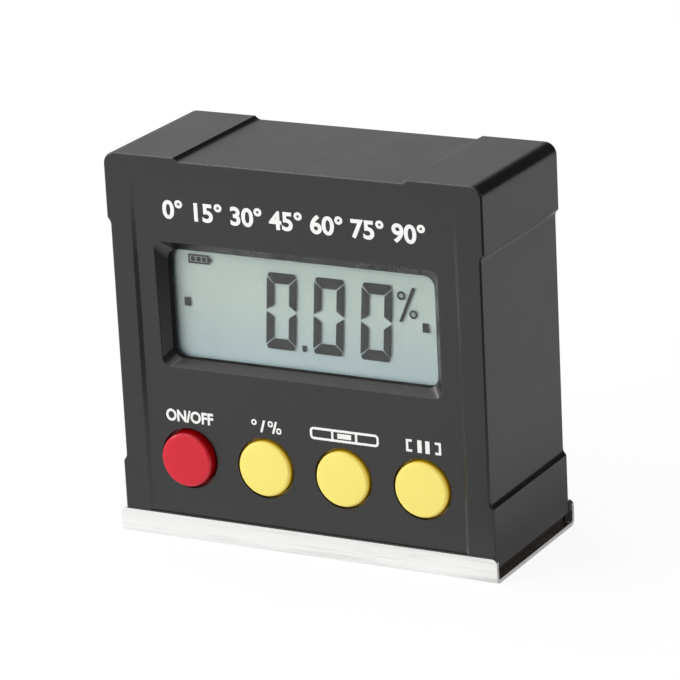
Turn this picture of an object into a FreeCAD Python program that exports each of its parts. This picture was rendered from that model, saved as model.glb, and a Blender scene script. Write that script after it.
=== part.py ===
import FreeCAD, Part
import math
import os
import Sketcher

# Digital inclinometer: a box gauge with a moulded housing on a magnetic steel channel.
# Frame: origin at the middle of the steel underside, X to the right of the display,
# Y from the front to the back, Z up. Millimetres.

# Driving sizes. Each one is a cell of the sheet, under its own name.
SIZES = {
    # outside of the housing
    "body_width": 60.0,           # across the corner pads
    "body_depth": 24.5,           # front face to back face
    "body_top": 57.65,            # top of the corner pads above the steel underside
    "skirt_bottom": 2.03,         # lower edge of the moulded walls
    "waist_step": 0.52,           # how far the waist lies below the pads
    "waist_ramp": 0.62,           # run of the slope between waist and pad
    "ramp_radius": 1.2,           # hollow rounding at the foot of that slope
    "lower_pad_top": 10.91,       # top of the lower side pads
    "upper_pad_bottom": 47.87,    # bottom of the upper side pads
    "top_pad_inner": 18.48,       # inner end of the top pads, from the middle
    "corner_radius": 1.8,         # top corners, seen from the front
    "edge_radius": 0.3,           # front and back rims
    "wall": 1.8,                  # wall of the housing
    "floor_thickness": 2.6,       # floor of the housing
    "cavity_radius": 1.5,         # inner corners of the housing
    # scooped centre of the front panel
    "scoop_width": 52.0,
    "scoop_slope": 0.6,           # run of the slope at its left and right end
    "scoop_drop": 2.85,           # its upper end below the top of the pads
    "scoop_foot_depth": 0.1,      # depth left at the lower edge
    "scoop_radius": 1000.0,
    "scoop_end_radius": 20000.0,  # of the nearly straight outer line of the slopes
    "scoop_end_lift": 0.03,       # of that line in front of the panel
    # display window and its sloping bezel
    "window_width": 42.7,
    "window_bottom": 27.195,      # height of its lower edge above the base
    "window_drop": 14.005,        # its upper edge below the top of the pads
    "window_radius": 1.7,
    "bezel_side": 1.5,            # run of the slope at the left and right
    "bezel_above": 1.65,          # run of the slope above the window
    "bezel_below": 1.4,           # run of the slope below the window
    "bezel_depth": 1.8,
    "bezel_radius": 1.2,          # outer corners of the bezel
    "bezel_soft": 0.3,            # rounding where the bezel leaves the panel
    "window_lip": 0.95,           # straight wall between the slope and the lens
    "lip_width": 1.3,             # width of the lip seen from inside
    # display stack
    "display_width": 46.0,
    "display_margin": 2.025,      # above and below the window
    "lens_thickness": 0.3,
    "glass_thickness": 0.3,
    "film_thickness": 0.14,
    "crystal_gap": 0.04,          # between the two glasses
    "seat_gap": 0.02,             # between pieces that are laid on each other
    "frame_wall": 1.4,            # walls of the display frame
    "frame_web": 1.0,             # cross plate of the display frame
    "connector_width": 1.4,       # elastomer strips, across
    "connector_length": 41.8,
    # circuit board
    "board_gap": 1.7,             # board to battery tray
    "board_thickness": 1.6,
    "board_margin": 0.5,          # board edge to housing wall
    "board_screw_x": 12.5,
    "board_screw_low": 21.0,
    "board_screw_drop": 4.13,     # upper board screws below the housing's top wall
    "boss_radius": 1.9,
    # screws: one kind holds the cover and the board, one is countersunk for the base
    "screw_radius": 1.0,
    "screw_head_radius": 1.8,
    "screw_head_height": 1.1,
    "screw_crown": 0.35,          # bevel round a screw head
    "screw_length": 4.0,          # below the head, board screws
    "cover_screw_length": 7.0,    # below the head, cover screws
    "thread_gap": 0.03,           # round a screw in its boss
    "hole_gap": 0.15,             # round a screw in a plain hole
    "cross_width": 0.5,           # slot width of the cross recess
    "cross_span": 2.0,
    "cross_depth": 0.6,
    "post_inset": 1.98,           # cover posts to the side walls
    "post_low": 8.6,
    "post_drop": 3.73,            # upper cover posts below the top wall
    "post_radius": 2.2,
    # buttons and their switches
    "button_margin": 11.175,      # outer buttons to the sides of the pads
    "button_height": 12.5,        # height of the row above the base
    "button_radius": 4.18,
    "button_hole_gap": 0.4,
    "button_flange_radius": 5.2,
    "button_flange": 0.8,
    "power_proud": 0.95,          # how far the power button stands out of the front
    "power_draw": 0.12,           # how much its cap narrows to the face
    "power_edge": 0.45,
    "key_proud": 0.35,            # the same for the other three
    "key_draw": 0.05,
    "key_edge": 0.42,
    "button_travel": 0.5,
    "button_play": 0.05,          # flange to panel
    "switch_size": 6.0,
    "switch_gap": 0.7,            # button to switch
    "plunger_radius": 1.7,
    "plunger_gap": 0.08,
    "plunger_length": 1.7,
    # parts on the back of the board
    "chip_size": 9.0,
    "chip_height": 1.2,
    "sensor_size": 4.0,
    "sensor_height": 1.0,
    "parts_drop": 8.93,           # row of parts below the housing's top wall
    "chip_x": -5.0,
    "sensor_x": 6.0,
    "crystal_margin": 10.68,      # crystal to the side wall
    "crystal_radius": 1.0,
    "crystal_length": 6.0,
    "capacitor_length": 1.6,
    "capacitor_width": 0.8,
    "capacitor_pitch": 5.0,
    "capacitor_drop": 14.73,      # row of capacitors below the top wall
    # rear cover and battery tray
    "cover_thickness": 1.8,
    "cover_rebate": 0.8,          # ledge of the housing that the cover lies on
    "cover_gap": 0.1,
    "tray_wall": 1.0,
    "tray_drop": 1.98,            # its middle below the middle of the housing's inside
    "tray_margin": 2.43,          # tray to the side walls
    "cell_nub_radius": 1.9,
    "cell_nub_length": 0.9,
    "cell_shoulder": 0.4,         # rounded ends of the cells
    "cell_spacing": 0.7,          # between the two cells
    "cell_gap": 0.3,              # cells to the tray's long walls
    "cell_floor_gap": 0.15,
    "cell_rib_height": 2.2,
    "cell_rib_width": 1.0,
    "spring_space": 3.1,
    "contact_thickness": 0.4,
    "contact_size": 8.6,
    "contact_tab": 2.0,
    "spring_wire": 0.5,
    "spring_base_radius": 3.3,
    "spring_tip_radius": 2.1,
    "spring_turns": 3.0,
    # battery door
    "door_ledge": 0.8,            # how far the door lies over the tray's walls
    "door_gap": 0.15,
    "door_seat_gap": 0.05,
    "door_clearance": 1.0,        # cells to the door
    "door_edge": 0.4,             # rounding of the door's rim
    "hook_width": 4.0,
    "hook_spacing": 26.0,
    "hook_reach": 1.3,            # below the door's lower edge
    "hook_thickness": 1.05,
    "hook_root": 1.0,             # height of the hook's root on the door
    "hook_play": 0.15,
    "latch_width": 8.0,
    "latch_depth": 2.5,
    "latch_thickness": 1.1,
    "latch_drop": 0.4,            # latch below the door's upper edge
    "grip_length": 10.0,
    "grip_width": 0.8,
    "grip_pitch": 1.7,
    "grip_depth": 0.35,
    "grip_drop": 2.4,             # first groove below the door's upper edge
    # steel channel and magnets
    "channel_overhang": 0.5,      # past the housing at each end
    "channel_gap": 0.05,
    "channel_thickness": 0.6,
    "channel_height": 3.76,
    "channel_bend": 0.9,          # outer radius of the bends
    "channel_corner": 0.8,        # corners of the upturned edges
    "spacer_inset": 0.8,          # ends of the spacer inside the housing's ends
    "spacer_side": 0.4,           # long sides of the spacer inside the housing
    "magnet_length": 15.0,
    "magnet_width": 12.0,
    "magnet_thickness": 3.0,
    "magnet_x": 9.5,
    "magnet_gap": 0.1,
    "base_screw_x": 22.0,
    "base_screw_length": 6.0,
    "base_screw_head": 1.9,       # radius of the countersunk head
    "base_screw_sunk": 0.04,      # head below the steel's underside
    "countersink_gap": 0.05,
    "floor_boss_radius": 2.4,
    "floor_boss_top": 7.0,
}

BUTTONS = ("power", "unit", "zero", "hold")
MATCH = 1e-4      # how close an edge lies to the place it is looked for
TINY = 1e-6       # smallest change of volume that counts


class Length:
    """A length: its number, and the expression on the sheet that gives it."""

    def __init__(self, number, text):
        self.number = float(number)
        self.text = text

    def __float__(self):
        return self.number

    def __neg__(self):
        return Length(-self.number, f"(-{self.text})")

    def __add__(self, other):
        other = as_length(other)
        return Length(self.number + other.number, f"({self.text} + {other.text})")

    def __sub__(self, other):
        other = as_length(other)
        return Length(self.number - other.number, f"({self.text} - {other.text})")

    def __rsub__(self, other):
        return as_length(other) - self

    def __mul__(self, factor):
        return Length(self.number * factor, f"({self.text} * {factor})")

    def __truediv__(self, divisor):
        return Length(self.number / divisor, f"({self.text} / {divisor})")

    __radd__ = __add__
    __rmul__ = __mul__


def as_length(value):
    """A Length from a Length or a plain number."""
    return value if isinstance(value, Length) else Length(value, str(float(value)))


class Sheet:
    """The spreadsheet of driving sizes: each one is read as an attribute."""

    def __init__(self, document, values):
        self.cells = document.addObject("Spreadsheet::Sheet", "Sizes")
        for row, (name, number) in enumerate(values.items(), 1):
            self.cells.set(f"A{row}", name)
            self.cells.set(f"B{row}", str(number))
            self.cells.setAlias(f"B{row}", name)
            setattr(self, name, Length(number, f"Sizes.{name}"))


doc = FreeCAD.newDocument("digital_inclinometer")
size = Sheet(doc, SIZES)
doc.recompute()

# Places worked out from the driving sizes.
half_width = size.body_width / 2
waist_x = half_width - size.waist_step
waist_top = size.body_top - size.waist_step
back = size.body_depth / 2
front = -back
panel_inner = front + size.wall
cavity_x = waist_x - size.wall
cavity_top = waist_top - size.wall
cavity_bottom = size.skirt_bottom + size.floor_thickness
cover_inner = back - size.cover_thickness

window_x = size.window_width / 2
window_low = size.window_bottom
window_high = size.body_top - size.window_drop
display_x = size.display_width / 2
display_low = window_low - size.display_margin
display_high = window_high + size.display_margin
lens_front = front + size.bezel_depth + size.window_lip
front_glass = lens_front + size.lens_thickness + size.seat_gap
rear_glass = front_glass + size.glass_thickness + size.crystal_gap
film_front = rear_glass + size.glass_thickness + size.seat_gap
web_front = film_front + size.film_thickness + size.seat_gap

# The cells fill the box: their thickness follows its depth, their length its width.
cell_diameter = size.body_depth * 3 / 7
cell_radius = cell_diameter / 2
cell_pitch = cell_diameter + size.cell_spacing
tray_x = cavity_x - size.tray_margin - size.tray_wall
cell_length = (tray_x - size.contact_thickness - size.door_seat_gap) * 2 - size.spring_space
tray_half = (cell_pitch + cell_diameter) / 2 + size.cell_gap
tray_centre = (cavity_bottom + cavity_top) / 2 - size.tray_drop
tray_low = tray_centre - tray_half
tray_high = tray_centre + tray_half
cell_y = cover_inner - size.door_clearance - cell_radius
tray_floor = cell_y - cell_radius - size.cell_floor_gap
tray_front = tray_floor - size.tray_wall
cell_rows = (tray_centre - cell_pitch / 2, tray_centre + cell_pitch / 2)

board_back = tray_front - size.board_gap
board_front = board_back - size.board_thickness
parts_row = cavity_top - size.parts_drop
capacitor_row = cavity_top - size.capacitor_drop

outer_button = half_width - size.button_margin
button_places = [outer_button * share for share in (-1, -1 / 3, 1 / 3, 1)]
button_back = panel_inner + size.button_play + size.button_flange
switch_front = button_back + size.switch_gap

door_x = tray_x + size.door_ledge - size.door_gap
door_low = tray_low - size.door_ledge + size.door_gap
door_high = tray_high + size.door_ledge - size.door_gap
door_inner = cover_inner + size.door_seat_gap

channel_inner = back + size.channel_gap
channel_outer = channel_inner + size.channel_thickness
channel_end = half_width + size.channel_overhang
base_top = size.channel_thickness + size.seat_gap

post_x = cavity_x - size.post_inset
post_places = [(x, z) for x in (-post_x, post_x) for z in (size.post_low, cavity_top - size.post_drop)]
board_screw_places = [
    (x, z)
    for x in (-size.board_screw_x, size.board_screw_x)
    for z in (size.board_screw_low, cavity_top - size.board_screw_drop)
]
base_screw_places = [(-size.base_screw_x, 0), (size.base_screw_x, 0)]
magnet_places = [-size.magnet_x, size.magnet_x]

# Origin planes by their letters, and which way each one's normal points.
PLANES = {"XY": ("XY_Plane", 1), "XZ": ("XZ_Plane", -1), "YZ": ("YZ_Plane", 1)}
nodes = []


def new_body(name):
    """A body for one node."""
    body = doc.addObject("PartDesign::Body", name)
    body.Label = name
    body.AllowCompound = True
    nodes.append(body)
    return body


def place(body, x=0, y=0, z=0):
    """Put a body at a place given by the sheet."""
    for axis, distance in zip("xyz", (x, y, z)):
        body.setExpression(f"Placement.Base.{axis}", as_length(distance).text)
    return body


def sketch_on(body, plane, offset, name):
    """An empty sketch parallel to an origin plane, at a distance along the world's axis."""
    role, sign = PLANES[plane]
    sketch = body.newObject("Sketcher::SketchObject", f"{body.Name}_{name}")
    sketch.AttachmentSupport = [(next(f for f in body.Origin.OriginFeatures if f.Role == role), "")]
    sketch.MapMode = "FlatFace"
    distance = as_length(offset) * sign
    sketch.setExpression(".AttachmentOffset.Base.z", distance.text)
    return sketch


def fix_point(sketch, geometry, position, x, y):
    """Tie a point of a sketch to a place on the sheet."""
    for kind, distance in (("DistanceX", as_length(x)), ("DistanceY", as_length(y))):
        constraint = Sketcher.Constraint(kind, -1, 1, geometry, position, distance.number)
        index = sketch.addConstraint(constraint)
        sketch.setExpression(f"Constraints[{index}]", distance.text)


def fix_radius(sketch, geometry, radius):
    """Tie a circle's or arc's radius to the sheet."""
    index = sketch.addConstraint(Sketcher.Constraint("Radius", geometry, radius.number))
    sketch.setExpression(f"Constraints[{index}]", radius.text)


def draw_polygon(sketch, points):
    """A closed outline of straight lines through the points."""
    corners = [FreeCAD.Vector(float(x), float(y), 0) for x, y in points]
    first = sketch.GeometryCount
    count = len(corners)
    for index, corner in enumerate(corners):
        sketch.addGeometry(Part.LineSegment(corner, corners[(index + 1) % count]), False)
    for index in range(count):
        following = first + (index + 1) % count
        sketch.addConstraint(Sketcher.Constraint("Coincident", first + index, 2, following, 1))
    for index, (x, y) in enumerate(points):
        fix_point(sketch, first + index, 1, x, y)


def draw_rectangle(sketch, left, right, low, high):
    """A rectangle with sharp corners."""
    draw_polygon(sketch, [(left, low), (right, low), (right, high), (left, high)])


def draw_circle(sketch, x, y, radius):
    """A full circle."""
    centre = FreeCAD.Vector(float(x), float(y), 0)
    index = sketch.addGeometry(Part.Circle(centre, FreeCAD.Vector(0, 0, 1), radius.number), False)
    fix_point(sketch, index, 3, x, y)
    fix_radius(sketch, index, radius)


def draw_rounded_rectangle(sketch, left, right, low, high, radius):
    """A rectangle with round corners: four arcs joined by four tangent lines."""
    left, right, low, high = (as_length(edge) for edge in (left, right, low, high))
    centres = [
        (right - radius, high - radius),
        (left + radius, high - radius),
        (left + radius, low + radius),
        (right - radius, low + radius),
    ]
    first = sketch.GeometryCount
    arcs = []
    for turn, (x, y) in enumerate(centres):
        circle = Part.Circle(FreeCAD.Vector(float(x), float(y), 0), FreeCAD.Vector(0, 0, 1), radius.number)
        arcs.append(Part.ArcOfCircle(circle, turn * math.pi / 2, (turn + 1) * math.pi / 2))
        sketch.addGeometry(arcs[-1], False)
    for turn in range(4):
        line = Part.LineSegment(arcs[turn].EndPoint, arcs[(turn + 1) % 4].StartPoint)
        sketch.addGeometry(line, False)
    for turn, (x, y) in enumerate(centres):
        arc, line, next_arc = first + turn, first + 4 + turn, first + (turn + 1) % 4
        sketch.addConstraint(Sketcher.Constraint("Tangent", arc, 2, line, 1))
        sketch.addConstraint(Sketcher.Constraint("Tangent", line, 2, next_arc, 1))
        fix_point(sketch, arc, 3, x, y)
        fix_radius(sketch, arc, radius)


def bind(feature, name, length):
    """Tie one property of a feature to the sheet."""
    feature.setExpression(name, as_length(length).text)


def extrude(kind, sketch, plane, towards, length, taper=0):
    """A pad or pocket from a sketch, towards +1 or -1 along the world's axis, or 0 both ways."""
    body = sketch.getParentGeoFeatureGroup()
    feature = body.newObject(f"PartDesign::{kind}", f"{sketch.Name}_{kind.lower()}")
    feature.Profile = sketch
    feature.AllowMultiFace = True
    bind(feature, "Length", length)
    feature.TaperAngle = taper
    if towards == 0:
        feature.SideType = "Symmetric"
    else:
        along_normal = towards * PLANES[plane][1] > 0
        feature.Reversed = along_normal == (kind == "Pocket")
    return feature


def pad(body, name, plane, offset, towards, length, draw, taper=0):
    """Draw a sketch with draw(sketch) and pad it."""
    sketch = sketch_on(body, plane, offset, name)
    draw(sketch)
    return extrude("Pad", sketch, plane, towards, length, taper)


def pocket(body, name, plane, offset, towards, length, draw, taper=0):
    """Draw a sketch with draw(sketch) and cut it away."""
    sketch = sketch_on(body, plane, offset, name)
    draw(sketch)
    return extrude("Pocket", sketch, plane, towards, length, taper)


def revolve(body, name, plane, draw, axis="V_Axis", kind="Revolution"):
    """Draw half a section with draw(sketch) and turn it about the sketch's own axis."""
    sketch = sketch_on(body, plane, 0, name)
    draw(sketch)
    feature = body.newObject(f"PartDesign::{kind}", f"{sketch.Name}_{kind.lower()}")
    feature.Profile = sketch
    feature.ReferenceAxis = (sketch, [axis])
    feature.Angle = 360
    return feature


def lies_at(edge, **places):
    """True if the whole edge lies at each place given, such as y=front."""
    box = edge.BoundBox
    ends = {"x": (box.XMin, box.XMax), "y": (box.YMin, box.YMax), "z": (box.ZMin, box.ZMax)}
    return all(abs(end - float(at)) < MATCH for axis, at in places.items() for end in ends[axis])


def dress(body, kind, name, amount, chosen):
    """Round or chamfer the edges of a body's last feature that chosen(edge) picks."""
    doc.recompute()
    base = body.Tip
    names = [f"Edge{index}" for index, edge in enumerate(base.Shape.Edges, 1) if chosen(edge)]
    feature = body.newObject(f"PartDesign::{kind}", f"{body.Name}_{name}")
    feature.Base = (base, names)
    bind(feature, "Radius" if kind == "Fillet" else "Size", amount)
    return feature


def circles(places, radius):
    """A drawing of one circle at each place."""

    def draw(sketch):
        for x, y in places:
            draw_circle(sketch, x, y, radius)

    return draw


def rectangle(left, right, low, high):
    """A drawing of one rectangle."""
    return lambda sketch: draw_rectangle(sketch, left, right, low, high)


def rounded(left, right, low, high, radius):
    """A drawing of one rectangle with round corners."""
    return lambda sketch: draw_rounded_rectangle(sketch, left, right, low, high, radius)


def boxes(places, half_x, half_y):
    """A drawing of one rectangle about each place."""

    def draw(sketch):
        for x, y in places:
            x, y = as_length(x), as_length(y)
            draw_rectangle(sketch, x - half_x, x + half_x, y - half_y, y + half_y)

    return draw


def crosses(body, places, plane, offset, towards):
    """Cross recesses in the screw heads at the places, as two pockets of slots."""
    half_width_of_slot, half_span = size.cross_width / 2, size.cross_span / 2
    pocket(body, "cross_level", plane, offset, towards, size.cross_depth,
           boxes(places, half_span, half_width_of_slot))
    pocket(body, "cross_upright", plane, offset, towards, size.cross_depth,
           boxes(places, half_width_of_slot, half_span))


def waisted_outline():
    """Front outline of the housing: pads at the corners, waist between them, right side first."""
    step, ramp = size.waist_step, size.waist_ramp
    side = [
        (half_width, size.skirt_bottom),
        (half_width, size.lower_pad_top),
        (waist_x, size.lower_pad_top + ramp),
        (waist_x, size.upper_pad_bottom - ramp),
        (half_width, size.upper_pad_bottom),
        (half_width, size.body_top),
        (size.top_pad_inner, size.body_top),
        (size.top_pad_inner - ramp, size.body_top - step),
    ]
    return side + [(-x, z) for x, z in reversed(side)]


def scoop_section(foot_depth, head_depth, arc_radius):
    """A drawing of the hollow of the front panel, seen from the side: a very flat arc and a box."""
    low_y, low_z = front + foot_depth, size.skirt_bottom
    top_y, top_z = front + head_depth, size.body_top - size.scoop_drop
    outside = front - size.wall
    foot = FreeCAD.Vector(float(low_y), float(low_z), 0)
    head = FreeCAD.Vector(float(top_y), float(top_z), 0)

    def draw(sketch):
        chord = head - foot
        radius = arc_radius.number
        inwards = FreeCAD.Vector(chord.y, -chord.x, 0).normalize()
        sagitta = radius - math.sqrt(radius ** 2 - (chord.Length / 2) ** 2)
        arc = Part.Arc(foot, (foot + head) / 2 + inwards * sagitta, head)
        far = float(outside)
        corners = [head, FreeCAD.Vector(far, head.y, 0), FreeCAD.Vector(far, foot.y, 0), foot]
        sketch.addGeometry(arc, False)
        for start, end in zip(corners, corners[1:]):
            sketch.addGeometry(Part.LineSegment(start, end), False)
        arc_foot = 1 if sketch.Geometry[0].StartPoint.distanceToPoint(foot) < MATCH else 2
        sketch.addConstraint(Sketcher.Constraint("Coincident", 0, 3 - arc_foot, 1, 1))
        sketch.addConstraint(Sketcher.Constraint("Coincident", 1, 2, 2, 1))
        sketch.addConstraint(Sketcher.Constraint("Coincident", 2, 2, 3, 1))
        sketch.addConstraint(Sketcher.Constraint("Coincident", 3, 2, 0, arc_foot))
        fix_point(sketch, 1, 1, top_y, top_z)
        fix_point(sketch, 2, 1, outside, top_z)
        fix_point(sketch, 3, 1, outside, low_z)
        fix_point(sketch, 0, arc_foot, low_y, low_z)
        fix_radius(sketch, 0, arc_radius)

    return draw


def cut_scoop(body):
    """The shallow hollow of the front panel, with a slope up to the panel at its left and right."""
    end_x = size.scoop_width / 2
    full_x = end_x - size.scoop_slope
    full = scoop_section(size.scoop_foot_depth, as_length(0), size.scoop_radius)
    line = scoop_section(-size.scoop_end_lift, -size.scoop_end_lift, size.scoop_end_radius)
    pocket(body, "scoop", "YZ", 0, 0, full_x * 2, full)
    for side, name in ((-1, "left"), (1, "right")):
        foot = sketch_on(body, "YZ", full_x * side, f"scoop_{name}_foot")
        full(foot)
        rim = sketch_on(body, "YZ", end_x * side, f"scoop_{name}_rim")
        line(rim)
        slope = body.newObject("PartDesign::SubtractiveLoft", f"{body.Name}_scoop_{name}")
        slope.Profile = foot
        slope.Sections = [rim]
        slope.Ruled = True


def cut_bezel(body):
    """The sloping bezel: a loft from the sharp outer frame down to the round-cornered window."""
    outer = sketch_on(body, "XZ", front, "bezel_outer")
    draw_rounded_rectangle(outer, -window_x - size.bezel_side, window_x + size.bezel_side,
                           window_low - size.bezel_below, window_high + size.bezel_above,
                           size.bezel_radius)
    inner = sketch_on(body, "XZ", front + size.bezel_depth, "bezel_inner")
    draw_rounded_rectangle(inner, -window_x, window_x, window_low, window_high, size.window_radius)
    loft = body.newObject("PartDesign::SubtractiveLoft", f"{body.Name}_bezel")
    loft.Profile = outer
    loft.Sections = [inner]
    loft.Ruled = True
    reach = float(window_x + size.bezel_side) + MATCH
    low = float(window_low - size.bezel_below) - MATCH
    high = float(window_high + size.bezel_above) + MATCH
    deepest = float(front + size.bezel_depth / 2)

    def is_rim(edge):
        box = edge.BoundBox
        across = abs(box.XMin) < reach and abs(box.XMax) < reach
        return across and box.ZMin > low and box.ZMax < high and box.YMax < deepest

    dress(body, "Fillet", "bezel_rim", size.bezel_soft, is_rim)


def front_housing():
    """Moulded housing: front panel, top, sides and floor in one piece, open at the back."""
    body = new_body("front_housing")
    pad(body, "outline", "XZ", back, -1, size.body_depth,
        lambda sketch: draw_polygon(sketch, waisted_outline()))
    waist_top, ramp = size.body_top - size.waist_step, size.waist_ramp
    dress(body, "Fillet", "ramp_feet", size.ramp_radius,
          lambda edge: any(lies_at(edge, x=waist_x * side, z=size.lower_pad_top + ramp)
                           or lies_at(edge, x=waist_x * side, z=size.upper_pad_bottom - ramp)
                           or lies_at(edge, x=(size.top_pad_inner - ramp) * side, z=waist_top)
                           for side in (-1, 1)))
    dress(body, "Fillet", "corners", size.corner_radius,
          lambda edge: lies_at(edge, z=size.body_top, x=half_width)
          or lies_at(edge, z=size.body_top, x=-half_width))
    dress(body, "Fillet", "rims", size.edge_radius,
          lambda edge: (lies_at(edge, y=front) or lies_at(edge, y=back))
          and not lies_at(edge, z=size.skirt_bottom))
    cut_scoop(body)
    pocket(body, "cavity", "XZ", back, -1, size.body_depth - size.wall,
           rounded(-cavity_x, cavity_x, cavity_bottom, cavity_top, size.cavity_radius))
    rebate = size.cover_rebate
    pocket(body, "rebate", "XZ", back, -1, size.cover_thickness,
           rounded(-cavity_x - rebate, cavity_x + rebate, cavity_bottom - rebate,
                   cavity_top + rebate, size.cavity_radius))
    lip = size.lip_width
    pad(body, "window_lip", "XZ", panel_inner, 1, lens_front - panel_inner,
        rounded(-window_x - lip, window_x + lip, window_low - lip, window_high + lip,
                size.window_radius))
    pocket(body, "window", "XZ", front, 1, lens_front - front,
           rounded(-window_x, window_x, window_low, window_high, size.window_radius))
    cut_bezel(body)
    holes = [(x, size.button_height) for x in button_places]
    pocket(body, "button_holes", "XZ", front, 1, size.wall,
           circles(holes, size.button_radius + size.button_hole_gap))
    pad(body, "cover_posts", "XZ", panel_inner, 1, cover_inner - panel_inner,
        circles(post_places, size.post_radius))
    pocket(body, "cover_pilots", "XZ", cover_inner, -1, size.cover_screw_length,
           circles(post_places, size.screw_radius + size.thread_gap))
    pad(body, "board_bosses", "XZ", panel_inner, 1, board_front - panel_inner,
        circles(board_screw_places, size.boss_radius))
    pocket(body, "board_pilots", "XZ", board_front, -1, size.screw_length,
           circles(board_screw_places, size.screw_radius + size.thread_gap))
    pad(body, "floor_bosses", "XY", size.skirt_bottom, 1, size.floor_boss_top - size.skirt_bottom,
        circles(base_screw_places, size.floor_boss_radius))
    pocket(body, "floor_pilots", "XY", size.skirt_bottom, 1,
           size.base_screw_length + size.hole_gap - size.skirt_bottom,
           circles(base_screw_places, size.screw_radius + size.thread_gap))
    pocket(body, "magnet_seats", "XY", size.skirt_bottom, 1,
           base_top + size.magnet_thickness + size.magnet_gap - size.skirt_bottom,
           boxes([(x, 0) for x in magnet_places], size.magnet_length / 2 + size.magnet_gap,
                 size.magnet_width / 2 + size.magnet_gap))


def rear_cover():
    """Inset back plate with the battery tray moulded on its inside."""
    body = new_body("rear_cover")
    edge = size.cover_rebate - size.cover_gap
    pad(body, "plate", "XZ", back, -1, size.cover_thickness,
        rounded(-cavity_x - edge, cavity_x + edge, cavity_bottom - edge, cavity_top + edge,
                size.cavity_radius))
    wall = size.tray_wall
    pad(body, "tray", "XZ", cover_inner, -1, cover_inner - tray_front,
        rounded(-tray_x - wall, tray_x + wall, tray_low - wall, tray_high + wall, wall))
    pocket(body, "tray_space", "XZ", back, -1, back - tray_floor,
           rectangle(-tray_x, tray_x, tray_low, tray_high))
    ledge = size.door_ledge
    pocket(body, "door_opening", "XZ", back, -1, size.cover_thickness,
           rectangle(-tray_x - ledge, tray_x + ledge, tray_low - ledge, tray_high + ledge))
    rib = size.cell_rib_width / 2
    rib_end = tray_x - size.spring_space
    pad(body, "cell_rib", "XZ", tray_floor, 1, size.cell_rib_height,
        rectangle(-rib_end, rib_end, tray_centre - rib, tray_centre + rib))
    swing = size.hook_play + size.hook_thickness + size.hook_reach / 2
    hook_half = size.hook_width / 2 + size.door_gap
    hook_places = [(x, tray_low - wall / 2) for x in (-size.hook_spacing / 2, size.hook_spacing / 2)]
    pocket(body, "hook_notches", "XZ", cover_inner, -1, swing,
           boxes(hook_places, hook_half, wall / 2))
    latch_half = size.latch_width / 2 + size.door_gap * 2
    pocket(body, "latch_notch", "XZ", cover_inner, -1, size.latch_depth + size.door_gap * 2,
           rectangle(-latch_half, latch_half, tray_high, tray_high + wall))
    slot = size.contact_thickness + size.door_seat_gap
    tab = size.contact_tab / 2 + size.door_seat_gap
    pocket(body, "tab_slots", "XZ", tray_floor, -1, size.tray_wall,
           boxes([(tray_x - slot / 2, z) for z in cell_rows], slot / 2, tab))
    pocket(body, "screw_holes", "XZ", back, -1, size.cover_thickness,
           circles(post_places, size.screw_radius + size.hole_gap))
    pocket(body, "screw_seats", "XZ", back, -1, size.screw_head_height,
           circles(post_places, size.screw_head_radius + size.hole_gap))


def draw_hook(sketch):
    """Side view of a door hook: a root on the door's inner face and a tab that reaches down."""
    outer = cover_inner - size.hook_play
    inner = outer - size.hook_thickness
    tip = door_low - size.hook_reach
    draw_polygon(sketch, [
        (door_inner, door_low + size.hook_root),
        (inner, door_low + size.hook_root),
        (inner, tip),
        (outer, tip),
        (outer, door_low),
        (door_inner, door_low),
    ])


def battery_door():
    """Door of the battery tray: hooks at the bottom, latch finger and grip grooves at the top."""
    body = new_body("battery_door")
    pad(body, "plate", "XZ", back, -1, back - door_inner,
        rectangle(-door_x, door_x, door_low, door_high))
    dress(body, "Fillet", "rim", size.door_edge,
          lambda edge: lies_at(edge, y=back) and not lies_at(edge, z=door_low))
    for side in (-1, 1):
        pad(body, f"hook_{'left' if side < 0 else 'right'}", "YZ", size.hook_spacing * (side / 2), 0,
            size.hook_width, draw_hook)
    latch_top = door_high - size.latch_drop
    pad(body, "latch", "XZ", door_inner, -1, size.latch_depth,
        rectangle(-size.latch_width / 2, size.latch_width / 2, latch_top - size.latch_thickness, latch_top))
    groove_half = size.grip_width / 2
    groove_top = door_high - size.grip_drop
    groove = pocket(body, "grip", "XZ", back, -1, size.grip_depth,
                    rounded(-size.grip_length / 2, size.grip_length / 2, groove_top - groove_half,
                            groove_top + groove_half, groove_half * 0.9))
    row = body.newObject("PartDesign::LinearPattern", "battery_door_grip_row")
    row.Originals = [groove]
    row.Direction = (groove.Profile[0], ["V_Axis"])
    row.Reversed = True
    row.Occurrences = 3
    bind(row, "Length", size.grip_pitch * 2)
    body.Tip = row


def draw_channel(sketch):
    """Section of the steel: a flat floor with an edge turned up at the front and the back."""
    draw_polygon(sketch, [
        (-channel_outer, 0),
        (channel_outer, 0),
        (channel_outer, size.channel_height),
        (channel_inner, size.channel_height),
        (channel_inner, size.channel_thickness),
        (-channel_inner, size.channel_thickness),
        (-channel_inner, size.channel_height),
        (-channel_outer, size.channel_height),
    ])


def base_channel():
    """Folded steel channel under the housing."""
    body = new_body("base_channel")
    pad(body, "section", "YZ", 0, 0, channel_end * 2, draw_channel)
    dress(body, "Fillet", "outer_bends", size.channel_bend,
          lambda edge: lies_at(edge, z=0, y=channel_outer) or lies_at(edge, z=0, y=-channel_outer))
    dress(body, "Fillet", "inner_bends", size.channel_bend - size.channel_thickness,
          lambda edge: lies_at(edge, z=size.channel_thickness, y=channel_inner)
          or lies_at(edge, z=size.channel_thickness, y=-channel_inner))
    dress(body, "Fillet", "corners", size.channel_corner,
          lambda edge: lies_at(edge, z=size.channel_height, x=channel_end)
          or lies_at(edge, z=size.channel_height, x=-channel_end))
    pocket(body, "countersinks", "XY", 0, 1, size.channel_thickness,
           circles(base_screw_places, size.base_screw_head + size.countersink_gap), taper=-45)


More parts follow.
